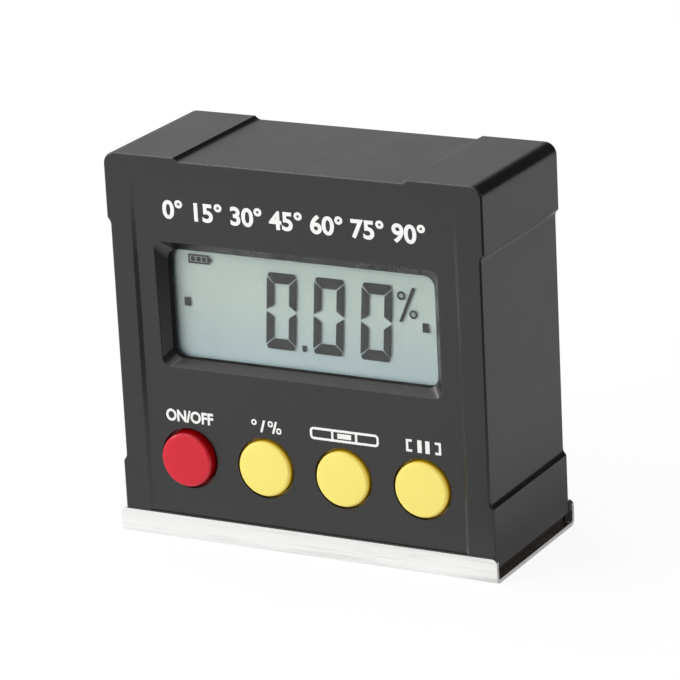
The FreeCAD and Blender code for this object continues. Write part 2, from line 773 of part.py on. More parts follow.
def base_spacer():
    """Dark sheet between the steel and the housing, with windows for the magnets."""
    body = new_body("base_spacer")
    half_x = half_width - size.spacer_inset
    half_y = back - size.spacer_side
    pad(body, "sheet", "XY", base_top, 1, size.skirt_bottom - size.seat_gap - base_top,
        rectangle(-half_x, half_x, -half_y, half_y))
    pocket(body, "magnet_windows", "XY", base_top, 1, size.skirt_bottom - base_top,
           boxes([(x, 0) for x in magnet_places], size.magnet_length / 2 + size.magnet_gap,
                 size.magnet_width / 2 + size.magnet_gap))
    pocket(body, "screw_holes", "XY", base_top, 1, size.skirt_bottom - base_top,
           circles(base_screw_places,
                   size.base_screw_head - size.channel_thickness + size.countersink_gap))


def base_magnets():
    """Two block magnets that lie on the steel."""
    body = new_body("base_magnets")
    first = pad(body, "block", "XY", base_top, 1, size.magnet_thickness,
                boxes([(-size.magnet_x, 0)], size.magnet_length / 2, size.magnet_width / 2))
    row = body.newObject("PartDesign::LinearPattern", "base_magnets_row")
    row.Originals = [first]
    row.Direction = (first.Profile[0], ["H_Axis"])
    row.Occurrences = 2
    bind(row, "Length", size.magnet_x * 2)
    body.Tip = row


def base_screws():
    """Countersunk screws through the steel into the housing's floor."""
    body = new_body("base_screws")
    sunk = size.base_screw_sunk
    taper_height = size.base_screw_head - size.screw_radius
    pad(body, "heads", "XY", sunk, 1, taper_height, circles(base_screw_places, size.base_screw_head),
        taper=-45)
    pad(body, "shanks", "XY", sunk, 1, size.base_screw_length - sunk,
        circles(base_screw_places, size.screw_radius))
    crosses(body, base_screw_places, "XY", sunk, 1)


def pan_screws(name, places, seat, towards, length):
    """Pan-head screws whose heads lie on the plane y=seat and whose shanks run towards."""
    body = new_body(name)
    head_top = seat - size.screw_head_height * towards
    pad(body, "heads", "XZ", seat, -towards, size.screw_head_height, circles(places, size.screw_head_radius))
    dress(body, "Chamfer", "crowns", size.screw_crown,
          lambda edge: lies_at(edge, y=head_top) and edge.BoundBox.XLength > size.screw_head_radius.number)
    pad(body, "shanks", "XZ", seat, towards, length - size.hole_gap, circles(places, size.screw_radius))
    crosses(body, places, "XZ", head_top, towards)


def display_plate(name, near, thickness, half_x, low, high):
    """One flat sheet of the display stack."""
    body = new_body(name)
    pad(body, "sheet", "XZ", near, 1, thickness, rectangle(-half_x, half_x, low, high))


def display_stack():
    """Lens, the two glasses and the reflecting film."""
    ledge = size.connector_width + size.seat_gap * 5
    display_plate("window_lens", lens_front + size.seat_gap, size.lens_thickness - size.seat_gap,
                  display_x, display_low, display_high)
    display_plate("display_front_glass", front_glass, size.glass_thickness,
                  display_x, display_low, display_high)
    display_plate("display_rear_glass", rear_glass, size.glass_thickness,
                  display_x, display_low, display_high)
    display_plate("display_reflector", film_front, size.film_thickness, display_x - size.frame_wall,
                  display_low + ledge, display_high - ledge)


def display_frame():
    """Frame that holds the display stack against the window and stands on the board."""
    body = new_body("display_frame")
    gap, wall = size.cover_gap, size.frame_wall
    near = panel_inner + size.seat_gap
    inner_x = display_x + gap
    low, high = display_low - gap, display_high + gap
    pad(body, "block", "XZ", near, 1, board_front - size.seat_gap - near,
        rounded(-inner_x - wall, inner_x + wall, low - wall, high + wall, wall))
    pocket(body, "front_recess", "XZ", near, 1, web_front - near, rectangle(-inner_x, inner_x, low, high))
    slot = size.connector_width + gap
    back_face = board_front - size.seat_gap
    pocket(body, "back_recess", "XZ", back_face, -1, back_face - web_front - size.frame_web,
           rectangle(-inner_x, inner_x, low + slot + wall, high - slot - wall))
    half = size.connector_length / 2 + gap
    depth = back_face - web_front
    pocket(body, "lower_slot", "XZ", back_face, -1, depth, rectangle(-half, half, low, low + slot))
    pocket(body, "upper_slot", "XZ", back_face, -1, depth, rectangle(-half, half, high - slot, high))


def display_connectors():
    """Elastomer strips that join the glass to the board."""
    body = new_body("display_connectors")
    near = rear_glass + size.glass_thickness + size.seat_gap
    half = size.connector_width / 2
    rows = [display_low + half, display_high - half]
    pad(body, "strips", "XZ", near, 1, board_front - size.seat_gap - near,
        boxes([(0, z) for z in rows], size.connector_length / 2, half))


def main_board():
    """Circuit board with clearance round the cover posts and holes for its screws."""
    body = new_body("main_board")
    half_x = cavity_x - size.board_margin
    pad(body, "outline", "XZ", board_front, 1, size.board_thickness,
        rounded(-half_x, half_x, cavity_bottom + size.board_margin, cavity_top - size.board_margin,
                size.board_margin))
    pocket(body, "post_notches", "XZ", board_front, 1, size.board_thickness,
           circles(post_places, size.post_radius + size.board_margin))
    pocket(body, "screw_holes", "XZ", board_front, 1, size.board_thickness,
           circles(board_screw_places, size.screw_radius + size.hole_gap))


def board_parts():
    """Chips and small parts soldered to the back of the board."""
    row = parts_row
    chip = new_body("controller_chip")
    pad(chip, "case", "XZ", board_back, 1, size.chip_height,
        boxes([(size.chip_x, row)], size.chip_size / 2, size.chip_size / 2), taper=-8)
    sensor = new_body("tilt_sensor")
    pad(sensor, "case", "XZ", board_back, 1, size.sensor_height,
        boxes([(size.sensor_x, row)], size.sensor_size / 2, size.sensor_size / 2))
    crystal = place(new_body("clock_crystal"), z=row)
    pad(crystal, "can", "YZ", cavity_x - size.crystal_margin, 0, size.crystal_length,
        circles([(board_back + size.crystal_radius, 0)], size.crystal_radius))
    capacitors = new_body("chip_capacitors")
    steps = [size.capacitor_pitch * step for step in (-2.5, -1.5, -0.5, 0.5, 1.5, 2.5)]
    pad(capacitors, "blocks", "XZ", board_back, 1, size.capacitor_width,
        boxes([(x, capacitor_row) for x in steps], size.capacitor_length / 2,
              size.capacitor_width / 2))


def switch_bodies():
    """Cases of the four push switches, each with a well for its plunger."""
    body = new_body("switch_bodies")
    half = size.switch_size / 2
    centres = [(x, size.button_height) for x in button_places]
    pad(body, "cases", "XZ", board_front, -1, board_front - switch_front, boxes(centres, half, half))
    well = size.plunger_length - size.switch_gap + size.button_travel + size.hole_gap
    pocket(body, "wells", "XZ", switch_front, 1, well,
           circles(centres, size.plunger_radius + size.plunger_gap))


def draw_button(proud, draw_in, edge):
    """Half section of a button: tapered cap with a rounded face edge, wide flange behind."""
    face = front - proud
    flange_front = panel_inner + size.button_play
    radius = size.button_radius

    def draw(sketch):
        draw_polygon(sketch, [
            (0, face),
            (radius - draw_in, face),
            (radius, flange_front),
            (size.button_flange_radius, flange_front),
            (size.button_flange_radius, button_back),
            (0, button_back),
        ])

    return draw, face, edge


def buttons():
    """The four buttons, each with the plunger of its switch."""
    kinds = {"power": (size.power_proud, size.power_draw, size.power_edge)}
    others = (size.key_proud, size.key_draw, size.key_edge)
    for name, x in zip(BUTTONS, button_places):
        draw, face, edge = draw_button(*kinds.get(name, others))
        button = place(new_body(f"{name}_button"), x=x, z=size.button_height)
        revolve(button, "section", "XY", draw)
        dress(button, "Fillet", "edge", edge,
              lambda rim: lies_at(rim, y=face) and rim.Curve.TypeId == "Part::GeomCircle")
        plunger = place(new_body(f"{name}_plunger"), x=x, z=size.button_height)
        pad(plunger, "stem", "XZ", button_back, 1, size.plunger_length,
            circles([(0, 0)], size.plunger_radius))


def draw_cell(sketch):
    """Half section of a cell lying along X: can, rounded shoulders and the raised end."""
    nub, shoulder = size.cell_nub_length, size.cell_shoulder
    half = cell_length / 2
    draw_polygon(sketch, [
        (-half, 0),
        (-half, cell_radius - shoulder),
        (-half + shoulder, cell_radius),
        (half - nub - shoulder, cell_radius),
        (half - nub, cell_radius - shoulder),
        (half - nub, size.cell_nub_radius),
        (half, size.cell_nub_radius),
        (half, 0),
    ])


def battery_cells():
    """Two cells side by side, the raised end of each at the end without its spring."""
    offset = size.spring_space / 2
    for name, row, side in (("upper_cell", cell_rows[1], 1), ("lower_cell", cell_rows[0], -1)):
        body = new_body(name)
        turn = FreeCAD.Rotation(FreeCAD.Vector(0, 0, 1), 90 - 90 * side)
        body.Placement = FreeCAD.Placement(FreeCAD.Vector(), turn)
        place(body, x=offset * side, y=cell_y, z=row)
        revolve(body, "section", "XY", draw_cell, axis="H_Axis")


def contact_plates():
    """Sheet-metal contacts at the ends of the tray."""
    thickness, half = size.contact_thickness, size.contact_size / 2
    outer = tray_x - size.door_seat_gap
    link = new_body("link_contact")
    pad(link, "plate", "YZ", -outer, 1, thickness,
        rectangle(cell_y - half, cell_y + half, cell_rows[0] - half, cell_rows[1] + half))
    tab = size.contact_tab / 2
    for name, row in (("negative_contact", cell_rows[0]), ("positive_contact", cell_rows[1])):
        body = new_body(name)
        pad(body, "plate", "YZ", outer, -1, thickness,
            rectangle(cell_y - half, cell_y + half, row - half, row + half))
        pad(body, "tab", "YZ", outer, -1, thickness,
            rectangle(board_back + size.seat_gap, cell_y - half + tab, row - tab, row + tab))


def draw_wire(sketch, centre_x, radius):
    """Section of the spring wire, with eight flats so that the coil keeps few faces."""
    angles = [math.pi / 4 * (step + 0.5) for step in range(8)]
    draw_polygon(sketch, [(centre_x + radius * math.cos(angle), radius + radius * math.sin(angle))
                          for angle in angles])


def contact_springs():
    """Coned coil springs that press the cells home, one on each side of the tray."""
    for name, row, side in (("upper_spring", cell_rows[1], -1), ("lower_spring", cell_rows[0], 1)):
        body = new_body(name)
        turn = FreeCAD.Rotation(FreeCAD.Vector(0, 1, 0), -90 * side)
        body.Placement = FreeCAD.Placement(FreeCAD.Vector(), turn)
        seat = tray_x - size.door_seat_gap - size.contact_thickness - size.seat_gap
        place(body, x=seat * side, y=cell_y, z=row)
        sketch = sketch_on(body, "XZ", 0, "wire")
        draw_wire(sketch, size.spring_base_radius, size.spring_wire / 2)
        coil = body.newObject("PartDesign::AdditiveHelix", f"{name}_coil")
        coil.Profile = sketch
        coil.ReferenceAxis = (sketch, ["V_Axis"])
        coil.Mode = "height-turns-growth"
        bind(coil, "Height", size.spring_space - size.spring_wire - size.seat_gap * 2)
        bind(coil, "Turns", size.spring_turns)
        bind(coil, "Growth", (size.spring_tip_radius - size.spring_base_radius) * (1 / SIZES["spring_turns"]))


def check_features():
    """Stop if a feature failed, a cut removed nothing or a node has no valid shape."""
    for item in doc.Objects:
        if "Invalid" in item.State or "Error" in item.State:
            raise RuntimeError(f"{item.Name} failed: {item.State}")
        base = getattr(item, "BaseFeature", None)
        if item.TypeId in ("PartDesign::Pocket", "PartDesign::SubtractiveLoft") and base:
            if item.Shape.Volume > base.Shape.Volume - TINY:
                raise RuntimeError(f"{item.Name} cuts nothing")
    for body in nodes:
        if body.Shape.isNull() or not body.Shape.isValid():
            raise RuntimeError(f"{body.Label} has no valid shape")


front_housing()
rear_cover()
battery_door()
base_channel()
base_spacer()
base_magnets()
base_screws()
pan_screws("cover_screws", post_places, back - size.screw_head_height, -1, size.cover_screw_length)
display_stack()
display_frame()
display_connectors()
main_board()
pan_screws("board_screws", board_screw_places, board_back, -1, size.screw_length)
board_parts()
switch_bodies()
buttons()
battery_cells()
contact_plates()
contact_springs()
doc.recompute()
check_features()

os.makedirs("parts", exist_ok=True)
for body in nodes:
    body.Shape.exportStep(f"parts/{body.Label}.step")
    solids = body.Shape.Solids
    print(f"{body.Label}: {len(solids)} solid(s), {sum(solid.Volume for solid in solids):.1f} mm3")
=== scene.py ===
"""Digital inclinometer: the looks of the box gauge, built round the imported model.

Lengths in the classes are millimetres, on the same axes as the CAD: X to the right of the
display, Y from the front to the back, Z up from the steel's underside.
"""
import logging
import math
from collections.abc import Iterable, Sequence
from dataclasses import dataclass
from enum import Enum

import bmesh
import bpy
from mathutils import Matrix, Vector


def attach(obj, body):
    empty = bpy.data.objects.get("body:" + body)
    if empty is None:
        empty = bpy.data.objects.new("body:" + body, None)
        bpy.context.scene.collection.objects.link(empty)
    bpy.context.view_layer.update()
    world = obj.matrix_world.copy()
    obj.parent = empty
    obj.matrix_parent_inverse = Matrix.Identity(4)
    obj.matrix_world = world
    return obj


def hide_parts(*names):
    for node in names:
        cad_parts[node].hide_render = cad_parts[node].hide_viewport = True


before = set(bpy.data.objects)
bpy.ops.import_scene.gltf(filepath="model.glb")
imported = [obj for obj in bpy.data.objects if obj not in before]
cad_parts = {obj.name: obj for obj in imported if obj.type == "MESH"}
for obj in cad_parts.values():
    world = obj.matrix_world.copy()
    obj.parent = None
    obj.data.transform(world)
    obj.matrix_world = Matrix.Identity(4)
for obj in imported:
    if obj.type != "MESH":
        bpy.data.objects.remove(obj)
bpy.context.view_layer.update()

MM = 0.001
MERGE = 1e-7    # metres within which corners are one
FULL_TURN = 2 * math.pi
log = logging.getLogger("inclinometer")

Flat = tuple[float, float]
Place = tuple[float, float, float]
Box = tuple[float, float, float, float]     # left, low, right, high
Colour = tuple[float, float, float, float]
Tree = bpy.types.NodeTree
Socket = bpy.types.NodeSocket
BMesh = bmesh.types.BMesh
BMVert = bmesh.types.BMVert


def linear(hex_colour: str) -> Colour:
    """Turn an sRGB hex colour into linear light.

    Args:
        hex_colour: "#rrggbb".

    Returns:
        Red, green, blue and an alpha of one.
    """
    shares = [int(hex_colour[i:i + 2], 16) / 255 for i in (1, 3, 5)]
    red, green, blue = (s / 12.92 if s <= 0.04045 else ((s + 0.055) / 1.055) ** 2.4 for s in shares)
    return red, green, blue, 1.0


def add_node(tree: Tree, kind: str, settings: dict | None = None,
             links: dict | None = None) -> bpy.types.Node:
    """Add a node with its settings and links.

    Args:
        tree: The material's or the world's node tree.
        kind: The node's type name.
        settings: Value for each property or input, by name or input number.
        links: Output socket that feeds each input, by name or input number.

    Returns:
        The new node.
    """
    node = tree.nodes.new(kind)
    for key, value in (settings or {}).items():
        if isinstance(key, str) and hasattr(node, key):
            setattr(node, key, value)
        else:
            node.inputs[key].default_value = value
    for key, source in (links or {}).items():
        tree.links.new(source, node.inputs[key])
    return node


# Finishes


@dataclass(frozen=True)
class Finish:
    """A surface: what it is made of and how it was made, as one material."""

    name: str

    def surface(self, tree: Tree) -> Socket:
        """Build the shader and give its output."""
        raise NotImplementedError

    @staticmethod
    def coat(tree: Tree, relief: float, height: Socket, settings: dict, links: dict) -> Socket:
        """Build the shader over the surface's relief.

        Args:
            tree: The material's nodes.
            relief: Depth of the relief in millimetres.
            height: Output that gives the height at each place.
            settings: Settings of the shader.
            links: Outputs that feed it.

        Returns:
            The shader's output.
        """
        bump = add_node(tree, "ShaderNodeBump", {"Distance": relief * MM}, {"Height": height})
        return add_node(tree, "ShaderNodeBsdfPrincipled", settings,
                        {**links, "Normal": bump.outputs[0]}).outputs[0]

    def material(self) -> bpy.types.Material:
        """Give the material, made the first time it is asked for.

        Returns:
            The material under the finish's name.
        """
        if self.name in bpy.data.materials:
            return bpy.data.materials[self.name]
        made = bpy.data.materials.new(self.name)
        made.use_nodes = True
        made.node_tree.nodes.clear()
        add_node(made.node_tree, "ShaderNodeOutputMaterial", links={"Surface": self.surface(made.node_tree)})
        return made


@dataclass(frozen=True)
class MouldedPlastic(Finish):
    """ABS from a spark-eroded steel mould: an even satin with a fine grain and faint flow clouds."""

    colour: str
    cloud_colour: str
    roughness: float = 0.42
    grain: float = 0.22     # mm between the grain's peaks; the real 0.05 is too fine to show
    relief: float = 0.004   # mm
    flow: float = 9.0       # mm across a flow cloud
    index: float = 1.5      # refractive index

    def surface(self, tree: Tree) -> Socket:
        """Build the shader.

        Args:
            tree: The material's nodes.

        Returns:
            The shader's output.
        """
        place = add_node(tree, "ShaderNodeTexCoord").outputs["Object"]
        grain = add_node(tree, "ShaderNodeTexNoise",
                         {"Scale": 1 / (self.grain * MM), "Detail": 3.0, "Roughness": 0.6}, {"Vector": place})
        flow = add_node(tree, "ShaderNodeTexNoise",
                        {"Scale": 1 / (self.flow * MM), "Detail": 3.0, "Distortion": 0.6}, {"Vector": place})
        sheen = add_node(tree, "ShaderNodeMapRange",
                         {"From Min": 0.3, "From Max": 0.7,
                          "To Min": self.roughness - 0.02, "To Max": self.roughness + 0.03},
                         {"Value": flow.outputs[0]})
        return self.coat(tree, self.relief, grain.outputs[0], {"IOR": self.index},
                         {"Base Color": self.tone(tree, place, flow.outputs[0]),
                          "Roughness": sheen.outputs[0]})

    def tone(self, tree: Tree, place: Socket, flow: Socket) -> Socket:
        """Give the colour at each place.

        Args:
            tree: The material's nodes.
            place: Object coordinates.
            flow: Strength of the flow clouds.

        Returns:
            The colour's output.
        """
        return add_node(tree, "ShaderNodeMix",
                        {"data_type": "RGBA", 6: linear(self.colour), 7: linear(self.cloud_colour)},
                        {0: flow}).outputs[2]


@dataclass(frozen=True)
class PaintedLightPlastic(MouldedPlastic):
    """A piece whose sides differ from its face by painted light: a cap's sides are painted in a deeper,
    darker colour as shade and may get a painted glow; a lining's deeper part is painted paler as light it
    catches from the film.
    """

    painted_side_colour: str = "#000000"
    glow: float = 0.0       # painted glow in the side colour, strongest halfway between face and foot
    face: float = -12.6     # mm, Y from which the painted side colour sets in
    foot: float = -12.0     # mm, Y at which it is all the painted side colour

    def tone(self, tree: Tree, place: Socket, flow: Socket) -> Socket:
        """Paint the side colour in from the face back: painted shade on a cap, painted light on the lining.

        Args:
            tree: The material's nodes.
            place: Object coordinates.
            flow: Strength of the flow clouds.

        Returns:
            The colour's output.
        """
        return add_node(tree, "ShaderNodeMix", {"data_type": "RGBA", 7: linear(self.painted_side_colour)},
                        {0: self.depth(tree, place), 6: super().tone(tree, place, flow)}).outputs[2]

    def depth(self, tree: Tree, place: Socket) -> Socket:
        """Give how deep a place lies, 0 at the face and 1 at the foot.

        Args:
            tree: The material's nodes.
            place: Object coordinates.

        Returns:
            The depth's output.
        """
        back = add_node(tree, "ShaderNodeSeparateXYZ", links={0: place}).outputs[1]
        return add_node(tree, "ShaderNodeMapRange",
                        {"From Min": self.face * MM, "From Max": self.foot * MM}, {"Value": back}).outputs[0]

    def surface(self, tree: Tree) -> Socket:
        """Add a painted glow in the side colour to the plastic.

        Args:
            tree: The material's nodes.

        Returns:
            The shader's output.
        """
        plastic = super().surface(tree)
        deep = self.depth(tree, add_node(tree, "ShaderNodeTexCoord").outputs["Object"])
        rest = add_node(tree, "ShaderNodeMath", {"operation": "SUBTRACT", 0: 1.0}, {1: deep}).outputs[0]
        halfway = add_node(tree, "ShaderNodeMath", {"operation": "MULTIPLY"}, {0: deep, 1: rest}).outputs[0]
        strength = add_node(tree, "ShaderNodeMath", {"operation": "MULTIPLY", 1: 4 * self.glow}, {0: halfway})
        light = add_node(tree, "ShaderNodeEmission", {"Color": linear(self.painted_side_colour)},
                         {"Strength": strength.outputs[0]})
        return add_node(tree, "ShaderNodeAddShader", links={0: plastic, 1: light.outputs[0]}).outputs[0]


@dataclass(frozen=True)
class DrawnMetal(Finish):
    """Rolled and brushed sheet or drawn wire: long fine lines that stretch what it reflects."""

    colour: str
    line_colour: str
    roughness: float = 0.26
    line_width: float = 0.14    # mm; the real lines are finer than a pixel
    line_length: float = 16.0   # mm
    relief: float = 0.0015      # mm
    streak_colour: str = "#e6e5e3"  # of handling smears along the lines
    streak_width: float = 0.8   # mm
    smudge: float = 6.0         # mm across a patch of duller steel

    def surface(self, tree: Tree) -> Socket:
        """Build the shader.

        Args:
            tree: The material's nodes.

        Returns:
            The shader's output.
        """
        place = add_node(tree, "ShaderNodeTexCoord").outputs["Object"]
        along, across, wide = (
            1 / (size * MM) for size in (self.line_length, self.line_width, self.streak_width))
        stretched = add_node(tree, "ShaderNodeMapping", {"Scale": (along, across, across)}, {"Vector": place})
        lines = add_node(tree, "ShaderNodeTexNoise", {"Scale": 1.0, "Detail": 3.0},
                         {"Vector": stretched.outputs[0]})
        tone = add_node(tree, "ShaderNodeMix",
                        {"data_type": "RGBA", 6: linear(self.colour), 7: linear(self.line_colour)},
                        {0: lines.outputs[0]})
        smeared = add_node(tree, "ShaderNodeMapping", {"Scale": (along, wide, wide)}, {"Vector": place})
        streak = add_node(tree, "ShaderNodeTexNoise", {"Scale": 1.0, "Detail": 2.0, "Distortion": 0.8},
                          {"Vector": smeared.outputs[0]})
        share = add_node(tree, "ShaderNodeMapRange",
                         {"interpolation_type": "SMOOTHSTEP", "From Min": 0.48, "From Max": 0.72},
                         {"Value": streak.outputs[0]})
        worn = add_node(tree, "ShaderNodeMix", {"data_type": "RGBA", 7: linear(self.streak_colour)},
                        {0: share.outputs[0], 6: tone.outputs[2]})
        smudge = add_node(tree, "ShaderNodeTexNoise", {"Scale": 1 / (self.smudge * MM), "Detail": 2.0},
                          {"Vector": place})
        sheen = add_node(tree, "ShaderNodeMapRange",
                         {"From Min": 0.3, "From Max": 0.7,
                          "To Min": self.roughness - 0.05, "To Max": self.roughness + 0.07},
                         {"Value": smudge.outputs[0]})
        return self.coat(tree, self.relief, lines.outputs[0], {"Metallic": 1.0},
                         {"Base Color": worn.outputs[2], "Roughness": sheen.outputs[0]})


@dataclass(frozen=True)
class PlatedMetal(Finish):
    """Nickel, zinc or solder on a pressed piece: bright, with a slightly uneven crystalline skin."""

    colour: str
    roughness: float = 0.24
    grain: float = 0.3     # mm across a patch of the plating
    relief: float = 0.002  # mm

    def surface(self, tree: Tree) -> Socket:
        """Build the shader.

        Args:
            tree: The material's nodes.

        Returns:
            The shader's output.
        """
        place = add_node(tree, "ShaderNodeTexCoord").outputs["Object"]
        skin = add_node(tree, "ShaderNodeTexNoise", {"Scale": 1 / (self.grain * MM), "Detail": 3.0},
                        {"Vector": place})
        sheen = add_node(tree, "ShaderNodeMapRange",
                         {"From Min": 0.3, "From Max": 0.7,
                          "To Min": self.roughness - 0.05, "To Max": self.roughness + 0.09},
                         {"Value": skin.outputs[0]})
        return self.coat(tree, self.relief, skin.outputs[0],
                         {"Metallic": 1.0, "Base Color": linear(self.colour)},
                         {"Roughness": sheen.outputs[0]})


@dataclass(frozen=True)
class ClearSheet(Finish):
    """Polished clear acrylic or float glass: nearly colourless, and lamps shine through it."""

    tint: str
    ior: float = 1.49
    mirror: str = "#ffffff"     # tint of what it reflects: darker where it is coated or bonded to a film

    def surface(self, tree: Tree) -> Socket:
        """Build the shader.

        Args:
            tree: The material's nodes.

        Returns:
            The shader's output.
        """
        clear = add_node(tree, "ShaderNodeBsdfPrincipled",
                         {"Base Color": linear(self.tint), "Roughness": 0.0, "IOR": self.ior,
                          "Specular Tint": linear(self.mirror), "Transmission Weight": 1.0})
        open_air = add_node(tree, "ShaderNodeBsdfTransparent", {"Color": linear(self.tint)})
        path = add_node(tree, "ShaderNodeLightPath")
        both = add_node(tree, "ShaderNodeMixShader",
                        links={0: path.outputs["Is Shadow Ray"], 1: clear.outputs[0], 2: open_air.outputs[0]})
        return both.outputs[0]


@dataclass(frozen=True)
class ReflectorFilm(Finish):
    """The polarising reflector behind the display: a matt grey-green with a fine sparkle."""

    high_colour: str
    low_colour: str
    low: float      # mm, height at which the film is all low_colour
    high: float     # mm, height at which it is all high_colour
    sparkle: float = 0.16   # mm between bright grains
    relief: float = 0.0008  # mm

    def surface(self, tree: Tree) -> Socket:
        """Build the shader.

        Args:
            tree: The material's nodes.

        Returns:
            The shader's output.
        """
        place = add_node(tree, "ShaderNodeTexCoord").outputs["Object"]
        height = add_node(tree, "ShaderNodeSeparateXYZ", links={0: place}).outputs[2]
        share = add_node(tree, "ShaderNodeMapRange",
                         {"interpolation_type": "SMOOTHSTEP",
                          "From Min": self.low * MM, "From Max": self.high * MM}, {"Value": height})
        tone = add_node(tree, "ShaderNodeMix",
                        {"data_type": "RGBA", 6: linear(self.low_colour), 7: linear(self.high_colour)},
                        {0: share.outputs[0]})
        grains = add_node(tree, "ShaderNodeTexNoise", {"Scale": 1 / (self.sparkle * MM), "Detail": 2.0},
                          {"Vector": place})
        return self.coat(tree, self.relief, grains.outputs[0], {"Roughness": 0.6, "Specular IOR Level": 0.3},
                         {"Base Color": tone.outputs[2]})


@dataclass(frozen=True)
class PrintedInk(Finish):
    """Screen-printed ink or the dark liquid crystal: a thin even coat with a slight mottle."""

    colour: str
    mottle_colour: str
    roughness: float = 0.5
    mottle: float = 0.5     # mm across a patch
    relief: float = 0.002   # mm

    def surface(self, tree: Tree) -> Socket:
        """Build the shader.

        Args:
            tree: The material's nodes.

        Returns:
            The shader's output.
        """
        place = add_node(tree, "ShaderNodeTexCoord").outputs["Object"]
        patch = add_node(tree, "ShaderNodeTexNoise", {"Scale": 1 / (self.mottle * MM), "Detail": 3.0},
                         {"Vector": place})
        tone = add_node(tree, "ShaderNodeMix",
                        {"data_type": "RGBA", 6: linear(self.colour), 7: linear(self.mottle_colour)},
                        {0: patch.outputs[0]})
        return self.coat(tree, self.relief, patch.outputs[0], {"Roughness": self.roughness},
                         {"Base Color": tone.outputs[2]})


@dataclass(frozen=True)
class Banded(Finish):
    """Layers or bands along X, as in an elastomer connector strip: two colours that take turns."""

    colour: str
    band_colour: str
    pitch: float            # mm from one dark band to the next
    roughness: float = 0.6
    relief: float = 0.01    # mm

    def surface(self, tree: Tree) -> Socket:
        """Build the shader.

        Args:
            tree: The material's nodes.

        Returns:
            The shader's output.
        """
        place = add_node(tree, "ShaderNodeTexCoord").outputs["Object"]
        # The wave's period is 2 pi over 20 times the scale.
        wave = add_node(tree, "ShaderNodeTexWave",
                        {"Scale": FULL_TURN / (20 * self.pitch * MM), "Distortion": 0.0, "Detail": 0.0},
                        {"Vector": place})
        band = add_node(tree, "ShaderNodeMapRange", {"From Min": 0.4, "From Max": 0.6},
                        {"Value": wave.outputs[1]})
        tone = add_node(tree, "ShaderNodeMix",
                        {"data_type": "RGBA", 6: linear(self.colour), 7: linear(self.band_colour)},
                        {0: band.outputs[0]})
        return self.coat(tree, self.relief, band.outputs[0], {"Roughness": self.roughness},
                         {"Base Color": tone.outputs[2]})


@dataclass(frozen=True)
class CircuitBoard(Finish):
    """Glass-fibre board under green solder resist, with copper tracks that show through it."""

    resist: str = "#12502c"
    track: str = "#2c7a46"
    weave: float = 0.6      # mm between threads of the glass cloth
    track_cell: float = 3.2     # mm between tracks
    track_height: float = 3.0   # of the cloth's relief
    relief: float = 0.006   # mm

    def surface(self, tree: Tree) -> Socket:
        """Build the shader.

        Args:
            tree: The material's nodes.

        Returns:
            The shader's output.
        """
        place = add_node(tree, "ShaderNodeTexCoord").outputs["Object"]
        cells = add_node(tree, "ShaderNodeTexVoronoi",
                         {"feature": "DISTANCE_TO_EDGE", "Scale": 1 / (self.track_cell * MM),
                          "Randomness": 0.75}, {"Vector": place})
        line = add_node(tree, "ShaderNodeMapRange",
                        {"From Min": 0.05, "From Max": 0.07, "To Min": 1.0, "To Max": 0.0},
                        {"Value": cells.outputs[0]})
        tone = add_node(tree, "ShaderNodeMix",
                        {"data_type": "RGBA", 6: linear(self.resist), 7: linear(self.track)},
                        {0: line.outputs[0]})
        cloth = add_node(tree, "ShaderNodeTexNoise", {"Scale": 1 / (self.weave * MM), "Detail": 1.0},
                         {"Vector": place})
        height = add_node(tree, "ShaderNodeMath", {"operation": "MULTIPLY_ADD", 1: self.track_height},
                          {0: line.outputs[0], 2: cloth.outputs[0]})
        return self.coat(tree, self.relief, height.outputs[0], {"Roughness": 0.33},
                         {"Base Color": tone.outputs[2]})


